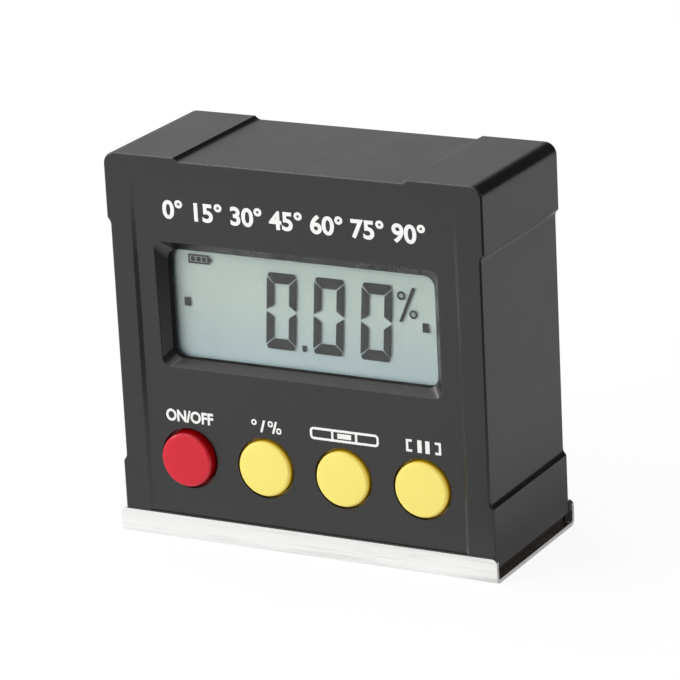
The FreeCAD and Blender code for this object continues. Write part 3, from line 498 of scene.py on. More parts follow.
@dataclass(frozen=True)
class StudioCard(Finish):
    """Matt white card: it shows as white to the camera and in gloss, and still takes a shadow."""

    colour: str = "#f4f4f4"
    glow: float = 0.85      # share of the white that a shadow can't darken
    white: float = 1.06     # strength that shows as white to the camera
    fades: tuple[tuple[int, float, float, float], ...] = (
        # axis, start and end in mm, and the share of the brightness from the end on
        (0, 46.0, 60.0, 0.6),
        (1, -26.0, -15.0, 1.22),
        (1, -95.0, -60.0, 0.93),
        (1, -145.0, -170.0, 0.86),
    )
    side_fades: tuple[tuple[int, float, float, float], ...] = (
        # the same beside the object, behind its front; the darkening right beside it is a painted shadow of
        # the object on the table, seen only in gloss
        (0, 22.0, 34.0, 0.33),
        (0, 34.0, 42.0, 1.6),
        (0, 42.0, 56.0, 1.26),
        (0, 46.0, 60.0, 1.667),
        (1, -26.0, -15.0, 0.82),
    )
    side_front: float = -14.0   # mm, Y behind which side_fades hold
    side_blend: float = 6.0     # mm over which they set in
    dark_left: Place = (0.975, -0.222, 0.0)     # way across the left side of the dark part, inwards
    dark_edge: float = 22.0     # mm from the middle to that side
    dark_right: Place = (0.707, 0.707, 0.0)     # way across its right side, outwards
    dark_side: float = -6.0     # mm from the middle to that side
    dark_front: float = -23.0   # mm, Y in front of which it lies
    dark_blend: float = 8.0     # mm over which it darkens
    dark_gloss: float = 0.05    # brightness in gloss there

    def surface(self, tree: Tree) -> Socket:
        """Build the shader.

        Args:
            tree: The material's nodes.

        Returns:
            The shader's output.
        """
        place = add_node(tree, "ShaderNodeTexCoord").outputs["Object"]
        axes = add_node(tree, "ShaderNodeSeparateXYZ", links={0: place}).outputs
        path = add_node(tree, "ShaderNodeLightPath")
        strength = add_node(tree, "ShaderNodeMix", {"data_type": "FLOAT", 2: self.white},
                            {0: path.outputs["Is Glossy Ray"],
                             3: self.faded(tree, axes, self.front_right(tree, place, axes))})
        card = add_node(tree, "ShaderNodeBsdfDiffuse", {"Color": linear(self.colour)})
        light = add_node(tree, "ShaderNodeEmission", {"Color": linear("#ffffff")},
                         {"Strength": strength.outputs[0]})
        seen = add_node(tree, "ShaderNodeMath", {"operation": "MAXIMUM"},
                        {0: shown_white(tree), 1: path.outputs["Is Glossy Ray"]})
        share = add_node(tree, "ShaderNodeMath", {"operation": "MULTIPLY", 1: self.glow},
                         {0: seen.outputs[0]})
        both = add_node(tree, "ShaderNodeMixShader",
                        links={0: share.outputs[0], 1: card.outputs[0], 2: light.outputs[0]})
        return both.outputs[0]

    def front_right(self, tree: Tree, place: Socket, axes: Sequence[Socket]) -> Socket:
        """Darken the front right in gloss: it draws the left slopes of the panel and the caps' sides.

        Args:
            tree: The material's nodes.
            place: Object coordinates.
            axes: Their X, Y and Z.

        Returns:
            The brightness: dark_gloss in that part and 1 elsewhere.
        """
        inward, across = (add_node(tree, "ShaderNodeVectorMath", {"operation": "DOT_PRODUCT", 1: way},
                                   {0: place}).outputs[1] for way in (self.dark_left, self.dark_right))
        inside = None
        for value, begin, turn in ((inward, self.dark_edge, 1), (axes[1], self.dark_front, -1),
                                   (across, self.dark_side, -1)):
            share = add_node(tree, "ShaderNodeMapRange",
                             {"From Min": begin * MM, "From Max": (begin + turn * self.dark_blend) * MM},
                             {"Value": value}).outputs[0]
            if inside is not None:
                share = add_node(tree, "ShaderNodeMath", {"operation": "MULTIPLY"},
                                 {0: inside, 1: share}).outputs[0]
            inside = share
        return add_node(tree, "ShaderNodeMapRange", {"To Min": 1.0, "To Max": self.dark_gloss},
                        {"Value": inside}).outputs[0]

    def faded(self, tree: Tree, axes: Sequence[Socket], level: Socket) -> Socket:
        """Fade a brightness across the card, and beside the object once more.

        Args:
            tree: The material's nodes.
            axes: X, Y and Z of the object coordinates.
            level: The brightness before.

        Returns:
            The faded brightness.
        """
        half = self.side_blend / 2
        beside = add_node(tree, "ShaderNodeMapRange", {"From Min": (self.side_front - half) * MM,
                                                       "From Max": (self.side_front + half) * MM},
                          {"Value": axes[1]}).outputs[0]
        for fades, where in ((self.fades, None), (self.side_fades, beside)):
            for axis, begin, stop, share in fades:
                fade = add_node(tree, "ShaderNodeMapRange",
                                {"From Min": begin * MM, "From Max": stop * MM,
                                 "To Min": 1.0, "To Max": share},
                                {"Value": axes[axis]}).outputs[0]
                if where is not None:
                    fade = add_node(tree, "ShaderNodeMix", {"data_type": "FLOAT", 2: 1.0},
                                    {0: where, 3: fade}).outputs[0]
                level = add_node(tree, "ShaderNodeMath", {"operation": "MULTIPLY"},
                                 {0: level, 1: fade}).outputs[0]
        return level


def shown_white(tree: Tree) -> Socket:
    """Tell the rays that show a white background: from the camera and through glass.

    Args:
        tree: The material's or the world's nodes.

    Returns:
        An output that is 1 for these rays.
    """
    path = add_node(tree, "ShaderNodeLightPath")
    either = add_node(tree, "ShaderNodeMath", {"operation": "MAXIMUM"},
                      {0: path.outputs["Is Camera Ray"], 1: path.outputs["Is Transmission Ray"]})
    return either.outputs[0]


BLACK_ABS = MouldedPlastic("moulded_black_abs", "#181818", "#1c1c1c", roughness=0.27, index=1.58)
COVER_ABS = MouldedPlastic("moulded_black_abs_cover", "#1f1f1f", "#232323", roughness=0.4, relief=0.006)
FRAME_ABS = MouldedPlastic("moulded_grey_abs", "#2b2c2e", "#333436", roughness=0.5)
# The caps' sides are painted darker and deeper in colour towards their foot as shade; the yellow caps also
# get a painted glow.
RED_ABS = PaintedLightPlastic("moulded_red_abs", "#cc0d28", "#c60c26", roughness=0.22, grain=0.3, relief=0.002,
                         painted_side_colour="#a60007", face=-13.1, foot=-12.35)
YELLOW_ABS = PaintedLightPlastic("moulded_yellow_abs", "#f1e175", "#efde70", roughness=0.24, grain=0.3,
                            relief=0.002, painted_side_colour="#edc02c", glow=0.26, face=-12.5, foot=-11.95)
SWITCH_NYLON = MouldedPlastic("moulded_black_nylon", "#161616", "#1d1d1d", roughness=0.5)
PLUNGER_NYLON = MouldedPlastic("moulded_ivory_nylon", "#d9d3c2", "#cfc8b5", roughness=0.45)
CHIP_EPOXY = MouldedPlastic("transfer_moulded_epoxy", "#141415", "#1c1c1d", roughness=0.6, relief=0.008)
SPACER_RUBBER = MouldedPlastic("cut_rubber_sheet", "#2a211d", "#352a25", roughness=0.7, grain=0.35,
                               relief=0.02)
CERAMIC = MouldedPlastic("fired_tan_ceramic", "#a8845c", "#9c7850", roughness=0.5, relief=0.004)
STAINLESS = DrawnMetal("brushed_stainless_steel", "#fdfdfc", "#ecebe9")
NICKEL = PlatedMetal("nickel_plated_steel", "#d6d1c7", roughness=0.2)
SPRING_WIRE = PlatedMetal("nickel_plated_spring_wire", "#c9c4ba", roughness=0.2, grain=0.5)
ZINC = PlatedMetal("zinc_plated_steel", "#c3c6c8", roughness=0.3)
BLACK_ZINC = PlatedMetal("black_zinc_plated_steel", "#3a3a3c", roughness=0.34)
SOLDER = PlatedMetal("reflowed_solder", "#c8c9cb", roughness=0.22, grain=0.4)
ACRYLIC = ClearSheet("polished_clear_acrylic", "#ffffff", 1.49, mirror="#c0c0c0")
FLOAT_GLASS = ClearSheet("display_float_glass", "#fcfefd", 1.52, mirror="#505050")
FILM = ReflectorFilm("matt_reflector_film", "#a7aeab", "#9ba5aa", low=27.0, high=37.0)
CRYSTAL_DARK = PrintedInk("dark_liquid_crystal", "#0e0e10", "#121214", roughness=0.8)
WHITE_INK = PrintedInk("white_screen_ink", "#f1f1ef", "#e6e6e4", roughness=0.45)
SLEEVE_FILM = PrintedInk("shrunk_printed_film", "#2d5f8f", "#2a5a88", roughness=0.28, mottle=2.0)
SLEEVE_BAND = PrintedInk("shrunk_printed_film_pale", "#d8dadc", "#d2d4d6", roughness=0.28, mottle=2.0)
ZEBRA = Banded("layered_silicone_strip", "#c98f86", "#2a2626", pitch=0.4)
BOARD = CircuitBoard("green_glass_fibre_board")
# A near-black lining put on the window's wall where the recess lies in shade; its deeper part is painted
# paler as light it catches from the film.
SHADE_LINING = PaintedLightPlastic("black_shade_lining", "#070707", "#0b0b0b", roughness=0.95, grain=0.2,
                             painted_side_colour="#1e1e1f", face=-10.25, foot=-10.05)
CARD = StudioCard("matt_white_card")
BLACK_VELVET = MouldedPlastic("black_velvet", "#050505", "#080808", roughness=0.95)


# Mesh work shared by the pieces


def millimetres(x: float, y: float, z: float) -> Vector:
    """Give a point in metres from millimetres."""
    return Vector((x, y, z)) * MM


def placed(name: str, bm: BMesh, finish: Finish) -> bpy.types.Object:
    """Put a finished mesh into the scene.

    Args:
        name: The object's name.
        bm: Its mesh in metres, in place. It is freed here.
        finish: Its surface.

    Returns:
        The new object.
    """
    mesh = bpy.data.meshes.new(name)
    bm.to_mesh(mesh)
    bm.free()
    mesh.materials.append(finish.material())
    made = bpy.data.objects.new(name, mesh)
    bpy.context.scene.collection.objects.link(made)
    return made


def piece(name: str, bm: BMesh, finish: Finish, body: str,
          replaces: Sequence[str] = (), smooth_below: float = 35.0) -> None:
    """Make a piece of a finished mesh and attach it to its body.

    Args:
        name: The piece's name.
        bm: Its mesh in metres, in place. It is freed here.
        finish: Its surface.
        body: The CAD body it moves with.
        replaces: The CAD nodes it stands for.
        smooth_below: Edges that turn less than this many degrees are shaded smooth.
    """
    bmesh.ops.remove_doubles(bm, verts=bm.verts, dist=MERGE)
    bmesh.ops.recalc_face_normals(bm, faces=bm.faces)
    for edge in bm.edges:
        edge.smooth = len(edge.link_faces) == 2 and edge.calc_face_angle(0.0) < math.radians(smooth_below)
    for face in bm.faces:
        face.smooth = True
    made = placed(name, bm, finish)
    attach(made, body)
    if replaces:
        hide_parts(*replaces)
    log.info("piece %s: %d faces on %s", name, len(made.data.polygons), body)


def dress(finish: Finish, *nodes: str) -> None:
    """Give CAD nodes their finish.

    Args:
        finish: The surface.
        nodes: Names of the nodes.
    """
    for name in nodes:
        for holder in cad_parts[name].material_slots:
            holder.material = finish.material()
        log.info("node %s: %s", name, finish.name)


def corners_of(left: float, low: float, right: float, high: float, lean: float = 0.0) -> list[Flat]:
    """Give the corners of a rectangle, or of a slanted stroke whose head lies to the right by lean."""
    return [(left, low), (right, low), (right + lean, high), (left + lean, high)]


def thicken(bm: BMesh, faces: Iterable[bmesh.types.BMFace]) -> set[BMVert]:
    """Give flat faces a second side, joined to the first by walls.

    Args:
        bm: The mesh they are in.
        faces: The flat faces.

    Returns:
        The corners of the second side, which still lie on those of the first.
    """
    grown = bmesh.ops.extrude_face_region(bm, geom=list(faces))["geom"]
    return {part for part in grown if isinstance(part, BMVert)}


def add_plate(bm: BMesh, outline: Iterable[Flat], front: float, thickness: float) -> None:
    """Add a flat plate parallel to the front panel.

    Args:
        bm: The mesh it goes into.
        outline: Its corners as (x, z) in millimetres.
        front: Y of its front face in millimetres.
        thickness: Its thickness in millimetres.
    """
    face = bm.faces.new([bm.verts.new(millimetres(x, front, z)) for x, z in outline])
    bmesh.ops.translate(bm, verts=list(thicken(bm, [face])), vec=millimetres(0, thickness, 0))


def add_ring(bm: BMesh, centre: Flat, radius: float, line: float, front: float,
             thickness: float, steps: int = 32) -> None:
    """Add a flat ring.

    Args:
        bm: The mesh it goes into.
        centre: Its middle as (x, z) in millimetres.
        radius: Its outer radius in millimetres.
        line: Width of its line in millimetres.
        front: Y of its front face in millimetres.
        thickness: Its thickness in millimetres.
        steps: Sides of the circle.
    """
    x, z = centre
    section = corners_of(radius - line, 0.0, radius, thickness)
    points = [bm.verts.new(millimetres(x + reach, front + deep, z)) for reach, deep in section]
    sides = [bm.edges.new((points[i - 1], points[i])) for i in range(len(points))]
    bmesh.ops.spin(bm, geom=points + sides, cent=millimetres(x, front, z), axis=(0, 1, 0),
                   angle=FULL_TURN, steps=steps, use_merge=True)


def turned(bm: BMesh, profile: Sequence[Flat], middle: Vector, axis: Vector,
           outward: Vector, steps: int) -> None:
    """Turn a profile about an axis, as on a lathe.

    Args:
        bm: The mesh it goes into.
        profile: Pairs of place along the axis and radius, in millimetres.
        middle: A point of the axis, in metres.
        axis: Its direction.
        outward: A direction square to it.
        steps: Sides of the circle.
    """
    points = [bm.verts.new(middle + (axis * along + outward * radius) * MM) for along, radius in profile]
    lines = [bm.edges.new(pair) for pair in zip(points, points[1:])]
    bmesh.ops.spin(bm, geom=points + lines, cent=middle, axis=axis, angle=FULL_TURN, steps=steps,
                   use_merge=True)


def frame_line(bm: BMesh, lower: Flat, upper: Flat, line: float, corner: float) -> None:
    """Add a flat rectangular outline with rounded corners.

    Args:
        bm: The mesh it goes into.
        lower: Its lower left corner as (x, z) in millimetres.
        upper: Its upper right corner.
        line: Width of the outline.
        corner: Radius of its corners.
    """
    points = [bm.verts.new(millimetres(x, 0, z)) for x, z in corners_of(*lower, *upper)]
    others = set(bm.faces)
    bm.faces.new(points)
    bmesh.ops.bevel(bm, geom=points, offset=corner * MM, affect="VERTICES", segments=5, profile=0.5,
                    material=-1)
    plate = next(face for face in bm.faces if face not in others)
    bmesh.ops.inset_region(bm, faces=[plate], thickness=line * MM, use_even_offset=True,
                           use_boundary=True)
    bmesh.ops.delete(bm, geom=[plate], context="FACES_ONLY")


def meshed(curve: bpy.types.Curve) -> BMesh:
    """Turn a curve or a text into a mesh.

    Args:
        curve: The curve. It is removed here.

    Returns:
        The mesh.
    """
    holder = bpy.data.objects.new(curve.name, curve)
    bpy.context.scene.collection.objects.link(holder)
    bpy.context.view_layer.update()
    mesh = bpy.data.meshes.new_from_object(holder)
    bm = bmesh.new()
    bm.from_mesh(mesh)
    bpy.data.objects.remove(holder)
    bpy.data.curves.remove(curve)
    bpy.data.meshes.remove(mesh)
    return bm


def lettering(text: str, height: float, width: float, weight: float) -> BMesh:
    """Make plain letters or numbers as a flat mesh in the XZ plane, lower left corner at the origin.

    Args:
        text: What it says.
        height: Height of a capital or a number in millimetres.
        width: Width of the whole text in millimetres.
        weight: How much the strokes are thickened, as a share of the type size.

    Returns:
        The flat mesh in metres.
    """
    curve = bpy.data.curves.new("lettering", "FONT")
    curve.body = text
    curve.fill_mode = "FRONT"
    curve.offset = weight
    curve.resolution_u = 6
    bm = meshed(curve)
    low = Vector((min(v.co.x for v in bm.verts), min(v.co.y for v in bm.verts), 0))
    high = Vector((max(v.co.x for v in bm.verts), max(v.co.y for v in bm.verts), 0))
    scale = (width * MM / (high.x - low.x), height * MM / (high.y - low.y), 1)
    bmesh.ops.translate(bm, verts=bm.verts, vec=-low)
    bmesh.ops.scale(bm, verts=bm.verts, vec=scale)
    bmesh.ops.rotate(bm, verts=bm.verts, cent=(0, 0, 0), matrix=Matrix.Rotation(math.pi / 2, 3, "X"))
    return bm


# Sub-assemblies


@dataclass
class Housing:
    """The moulded housing with its rear cover, and the shallow scoop of the front panel."""

    front: float = -12.25
    scoop_foot: float = 2.03        # height where the scoop starts
    scoop_head: float = 54.8        # height where it ends
    scoop_foot_depth: float = 0.1
    scoop_radius: float = 1000.0

    def panel_y(self, height: float) -> float:
        """Give the Y of the scooped panel.

        Args:
            height: Height above the base in millimetres.

        Returns:
            Y of the panel's surface at that height.
        """
        up, down = height - self.scoop_foot, self.scoop_head - height
        chord = self.scoop_foot_depth * down / (self.scoop_head - self.scoop_foot)
        return self.front + chord + up * down / (2 * self.scoop_radius)

    def build(self) -> None:
        """Dress the moulded pieces and the screws of the cover."""
        dress(BLACK_ABS, "front_housing")
        dress(COVER_ABS, "rear_cover", "battery_door")
        dress(BLACK_ZINC, "cover_screws")


class Mark(Enum):
    """A plain sign beside a button."""

    ON_OFF = "ON/OFF"
    UNIT = "°/%"
    LEVEL = "level"
    PAUSE = "pause"


@dataclass
class PanelPrint:
    """White screen print: a row of degree numbers over the display, a sign over each button."""

    housing: Housing
    ink: float = 0.02               # its thickness
    row_left: float = -20.7
    row_right: float = 21.1
    row_low: float = 48.5
    row_height: float = 3.0
    row_weight: float = 0.03        # how much its strokes are thickened, as a share of the type size
    numbers: tuple[int, ...] = (0, 15, 30, 45, 60, 75, 90)
    word_weight: float = 0.034      # the same for a sign that is a word
    line: float = 0.36              # width of the other signs' strokes
    thin: float = 0.24              # and of their small rings
    signs_low: float = 17.9
    signs_height: float = 1.85
    signs: tuple[tuple[Mark, float, float], ...] = (
        (Mark.ON_OFF, -22.4, -14.6),
        (Mark.UNIT, -8.3, -3.7),
        (Mark.LEVEL, 1.2, 12.2),
        (Mark.PAUSE, 16.5, 22.0),
    )

    def lay(self, name: str, bm: BMesh) -> None:
        """Lay flat print on the scooped panel and give it the thickness of ink.

        Args:
            name: The piece's name.
            bm: Flat faces at their (x, z) place, at any Y.
        """
        risen = thicken(bm, bm.faces)
        for vert in bm.verts:
            surface = self.housing.panel_y(vert.co.z / MM)
            vert.co.y = (surface - self.ink if vert in risen else surface + self.ink) * MM
        piece(name, bm, WHITE_INK, "root")

    def build(self) -> None:
        """Print the row of numbers and the four signs."""
        text = " ".join(f"{number}°" for number in self.numbers)
        row = lettering(text, self.row_height, self.row_right - self.row_left, self.row_weight)
        bmesh.ops.translate(row, verts=row.verts, vec=millimetres(self.row_left, 0, self.row_low))
        self.lay("panel_degree_row", row)
        for mark, left, right in self.signs:
            self.lay(f"panel_sign_{mark.name.lower()}", self.sign(mark, left, right))

    def sign(self, mark: Mark, left: float, right: float) -> BMesh:
        """Draw one sign as flat faces.

        Args:
            mark: Which sign.
            left: Its left end in millimetres.
            right: Its right end in millimetres.

        Returns:
            The flat mesh at its (x, z) place.
        """
        low, high = self.signs_low, self.signs_low + self.signs_height
        if mark is Mark.ON_OFF:
            bm = lettering(mark.value, self.signs_height, right - left, self.word_weight)
            bmesh.ops.translate(bm, verts=bm.verts, vec=millimetres(left, 0, low))
            return bm
        bm = bmesh.new()
        middle, line, thin = (left + right) / 2, self.line, self.thin
        if mark is Mark.UNIT:
            lean, degree, wide, tall, aside, soft = 0.55, 0.86, 0.82, 0.92, 0.26, 0.34
            frame_line(bm, (left, high - degree), (left + degree, high), thin, 0.36)
            for share in (0.3, 0.72):
                start = left + share * (right - left)
                self.stroke(bm, start, start + line, low, high, lean)
            middle = start + (line + lean) / 2
            frame_line(bm, (middle - aside - wide, high - tall), (middle - aside, high), thin, soft)
            frame_line(bm, (middle + aside, low), (middle + aside + wide, low + tall), thin, soft)
        elif mark is Mark.LEVEL:
            tick, bubble, inset, soft = 1.9, 1.1, 0.55, 0.6
            frame_line(bm, (left, low), (right, high), line, soft)
            for start in (middle - tick - line / 2, middle + tick - line / 2):
                self.stroke(bm, start, start + line, low + line, high - line)
            self.stroke(bm, middle - bubble, middle + bubble, low + inset, high - inset)
        else:
            bar, half, bracket = 0.62, 0.34, 0.95
            for side in (-1, 1):
                start = middle + side * bar
                self.stroke(bm, start - half, start + half, low, high)
                end = middle + side * (right - left) / 2
                inner, tip = end - side * line, end - side * bracket
                self.stroke(bm, min(end, inner), max(end, inner), low, high)
                for edge in (low, high - line):
                    self.stroke(bm, min(inner, tip), max(inner, tip), edge, edge + line)
        return bm

    @staticmethod
    def stroke(bm: BMesh, left: float, right: float, low: float, high: float, lean: float = 0.0) -> None:
        """Add a flat stroke.

        Args:
            bm: The mesh it goes into.
            left: Left end of its foot in millimetres.
            right: Right end of its foot.
            low: Its lower edge.
            high: Its upper edge.
            lean: How far its head lies to the right of its foot.
        """
        outline = corners_of(left, low, right, high, lean)
        bm.faces.new([bm.verts.new(millimetres(x, 0, z)) for x, z in outline])


@dataclass
class Display:
    """The segment display: lens, two glasses, reflector film, and the dark shapes between the glasses.

    The dark shapes lie in the gap between the glasses. The lens and the front glass shift what is seen
    through them a little, so the shapes are drawn that much to the left and down of where they appear.
    """

    plane: float = -8.87            # front of the dark shapes
    thickness: float = 0.02
    shift: Flat = (-0.15, -0.15)
    digit_lefts: tuple[float, ...] = (-6.6, 1.0, 8.55)
    digit_low: float = 29.9
    digit_height: float = 11.45
    digit_width: float = 4.82
    stroke: float = 1.2             # upright bars
    bar: float = 1.6                # level bars
    slant: float = 4.0              # degrees
    corner: float = 0.42            # outer corners of a digit
    gap: float = 0.12               # between a level bar's end and the digit's side
    point: Box = (-0.69, 30.0, -0.07, 30.9)
    left_square: Box = (-19.65, 34.9, -18.66, 36.2)
    right_square: Box = (18.62, 34.93, 19.61, 36.29)
    percent_rings: tuple[Flat, ...] = ((15.46, 39.96), (17.25, 37.38))
    percent_stroke: Box = (14.98, 36.1, 15.47, 41.3)
    percent_lean: float = 2.25
    ring_radius: float = 0.64
    ring_line: float = 0.3
    battery_case: Box = (-18.6, 41.42, -15.2, 42.8)
    window_half: float = 21.35      # half the window's width
    window_low: float = 27.195
    window_high: float = 43.645
    window_radius: float = 1.7
    shade_lining: float = 0.05            # thickness of the near-black lining round the window, put there for the shade of its wall
    shade_lining_front: float = -10.42
    shade_lining_back: float = -9.5

    def build(self) -> None:
        """Dress the display's plates, line its window and draw what it shows."""
        dress(ACRYLIC, "window_lens")
        dress(FLOAT_GLASS, "display_front_glass", "display_rear_glass")
        dress(FILM, "display_reflector")
        dress(FRAME_ABS, "display_frame")
        dress(ZEBRA, "display_connectors")
        for number, left in enumerate(self.digit_lefts, 1):
            self.show(f"display_digit_{number}", self.zero(left))
        for name, box in (("point", self.point), ("left_square", self.left_square),
                          ("right_square", self.right_square)):
            self.show(f"display_{name}", [corners_of(*box)])
        self.show("display_percent", [corners_of(*self.percent_stroke, self.percent_lean)],
                  self.percent_rings)
        self.show("display_battery", self.battery())
        self.line_window()

    def line_window(self) -> None:
        """Line the straight wall of the window with a thin near-black sheet that stands in for its shade,
        painted paler deeper in as light from the film.
        """
        bm = bmesh.new()
        frame_line(bm, (-self.window_half, self.window_low), (self.window_half, self.window_high),
                   self.shade_lining, self.window_radius)
        backs = thicken(bm, bm.faces)
        for vert in bm.verts:
            vert.co.y = (self.shade_lining_back if vert in backs else self.shade_lining_front) * MM
        piece("window_shade_lining", bm, SHADE_LINING, "root")

    def zero(self, left: float) -> list[list[Flat]]:
        """Give the outlines of a zero's six dark bars.

        Args:
            left: X of its lower left corner.

        Returns:
            One outline per bar, slanted and in place.
        """
        wide, tall, side, level = self.digit_width, self.digit_height, self.stroke, self.bar
        middle, gap, soft = tall / 2, self.gap, self.corner
        # The outer corners are cut by two short lines each.
        top = [(gap, tall - soft - 0.1), (0.12 + gap, tall - 0.2), (soft, tall), (wide - soft, tall),
               (wide - 0.12 - gap, tall - 0.2), (wide - gap, tall - soft - 0.1),
               (wide - side - gap, tall - level), (side + gap, tall - level)]
        upper = [(0.0, tall - soft - 0.3), (side, tall - level - 0.17), (side, middle + 0.95),
                 (0.0, middle + 0.1)]
        bars = [top, upper, [(wide - u, v) for u, v in upper], [(u, tall - v) for u, v in upper],
                [(wide - u, tall - v) for u, v in upper], [(u, tall - v) for u, v in top]]
        lean = math.tan(math.radians(self.slant))
        return [[(left + u + v * lean, self.digit_low + v) for u, v in bar] for bar in bars]

    def battery(self) -> list[list[Flat]]:
        """Give the outlines of a plain battery.

        Returns:
            Four sides of its case, its nub and three bars.
        """
        left, low, right, high = self.battery_case
        line, nub_inset, nub_reach = 0.26, 0.4, 0.32
        first, wide, pitch, inset = 0.45, 0.6, 0.9, 0.36
        boxes = [(left, low, right, low + line), (left, high - line, right, high),
                 (left, low + line, left + line, high - line),
                 (right - line, low + line, right, high - line),
                 (right, low + nub_inset, right + nub_reach, high - nub_inset)]
        for number in range(3):
            start = left + first + number * pitch
            boxes.append((start, low + inset, start + wide, high - inset))
        return [corners_of(*box) for box in boxes]

    def show(self, name: str, outlines: Iterable[Iterable[Flat]], rings: Iterable[Flat] = ()) -> None:
        """Draw dark shapes between the glasses.

        Args:
            name: The piece's name.
            outlines: Their corners as (x, z), where they appear.
            rings: The middles of small rings among them, where they appear.
        """
        bm = bmesh.new()
        aside, up = self.shift
        for x, z in rings:
            add_ring(bm, (x + aside, z + up), self.ring_radius, self.ring_line, self.plane, self.thickness)
        for outline in outlines:
            add_plate(bm, [(x + aside, z + up) for x, z in outline], self.plane, self.thickness)
        piece(name, bm, CRYSTAL_DARK, "root")


@dataclass
class PushButton:
    """One moulded cap with the flange that keeps it behind the panel."""

    name: str
    x: float
    face: float             # Y of its face
    draw: float             # how much it narrows to the face
    edge: float             # rounding of the face's rim
    finish: Finish
    slot: str
    radius: float = 4.18
    height: float = 12.5
    flange_radius: float = 5.2
    flange_front: float = -10.4
    flange_back: float = -9.6
    crown: float = 0.03     # how far the middle of the face stands over its rim
    dome: Flat = (0.3, 0.55)    # a point on the crown: shares of the drop to the rim and of the radius
    sides: int = 96         # of its circle
    edge_faces: int = 6     # across the rounding

    def build(self) -> None:
        """Turn the cap and dress the plunger of its switch."""
        bm = bmesh.new()
        rim = self.face + self.crown
        profile = [(self.face, 0.0), (self.face + self.crown * self.dome[0], self.radius * self.dome[1]),
                   (rim, self.radius - self.draw), (self.flange_front, self.radius),
                   (self.flange_front, self.flange_radius), (self.flange_back, self.flange_radius),
                   (self.flange_back, 0.0)]
        turned(bm, profile, millimetres(self.x, 0, self.height), Vector((0, 1, 0)), Vector((1, 0, 0)),
               self.sides)
        bmesh.ops.remove_doubles(bm, verts=bm.verts, dist=MERGE)
        at_rim = [edge for edge in bm.edges
                  if all(abs(v.co.y - rim * MM) < 10 * MERGE for v in edge.verts)]
        bmesh.ops.bevel(bm, geom=at_rim, offset=self.edge * MM, offset_type="OFFSET", affect="EDGES",
                        segments=self.edge_faces, profile=0.5, material=-1, clamp_overlap=True)
        piece(f"{self.name}_cap", bm, self.finish, f"{self.name}_key",
              (f"{self.name}_button",), smooth_below=40)
        dress(PLUNGER_NYLON, f"{self.name}_plunger")


@dataclass
class SteelBase:
    """The folded steel channel with the spacer, the magnets and their screws."""

    def build(self) -> None:
        """Dress the steel and what lies on it."""
        dress(STAINLESS, "base_channel")
        dress(SPACER_RUBBER, "base_spacer")
        dress(NICKEL, "base_magnets")
        dress(ZINC, "base_screws")


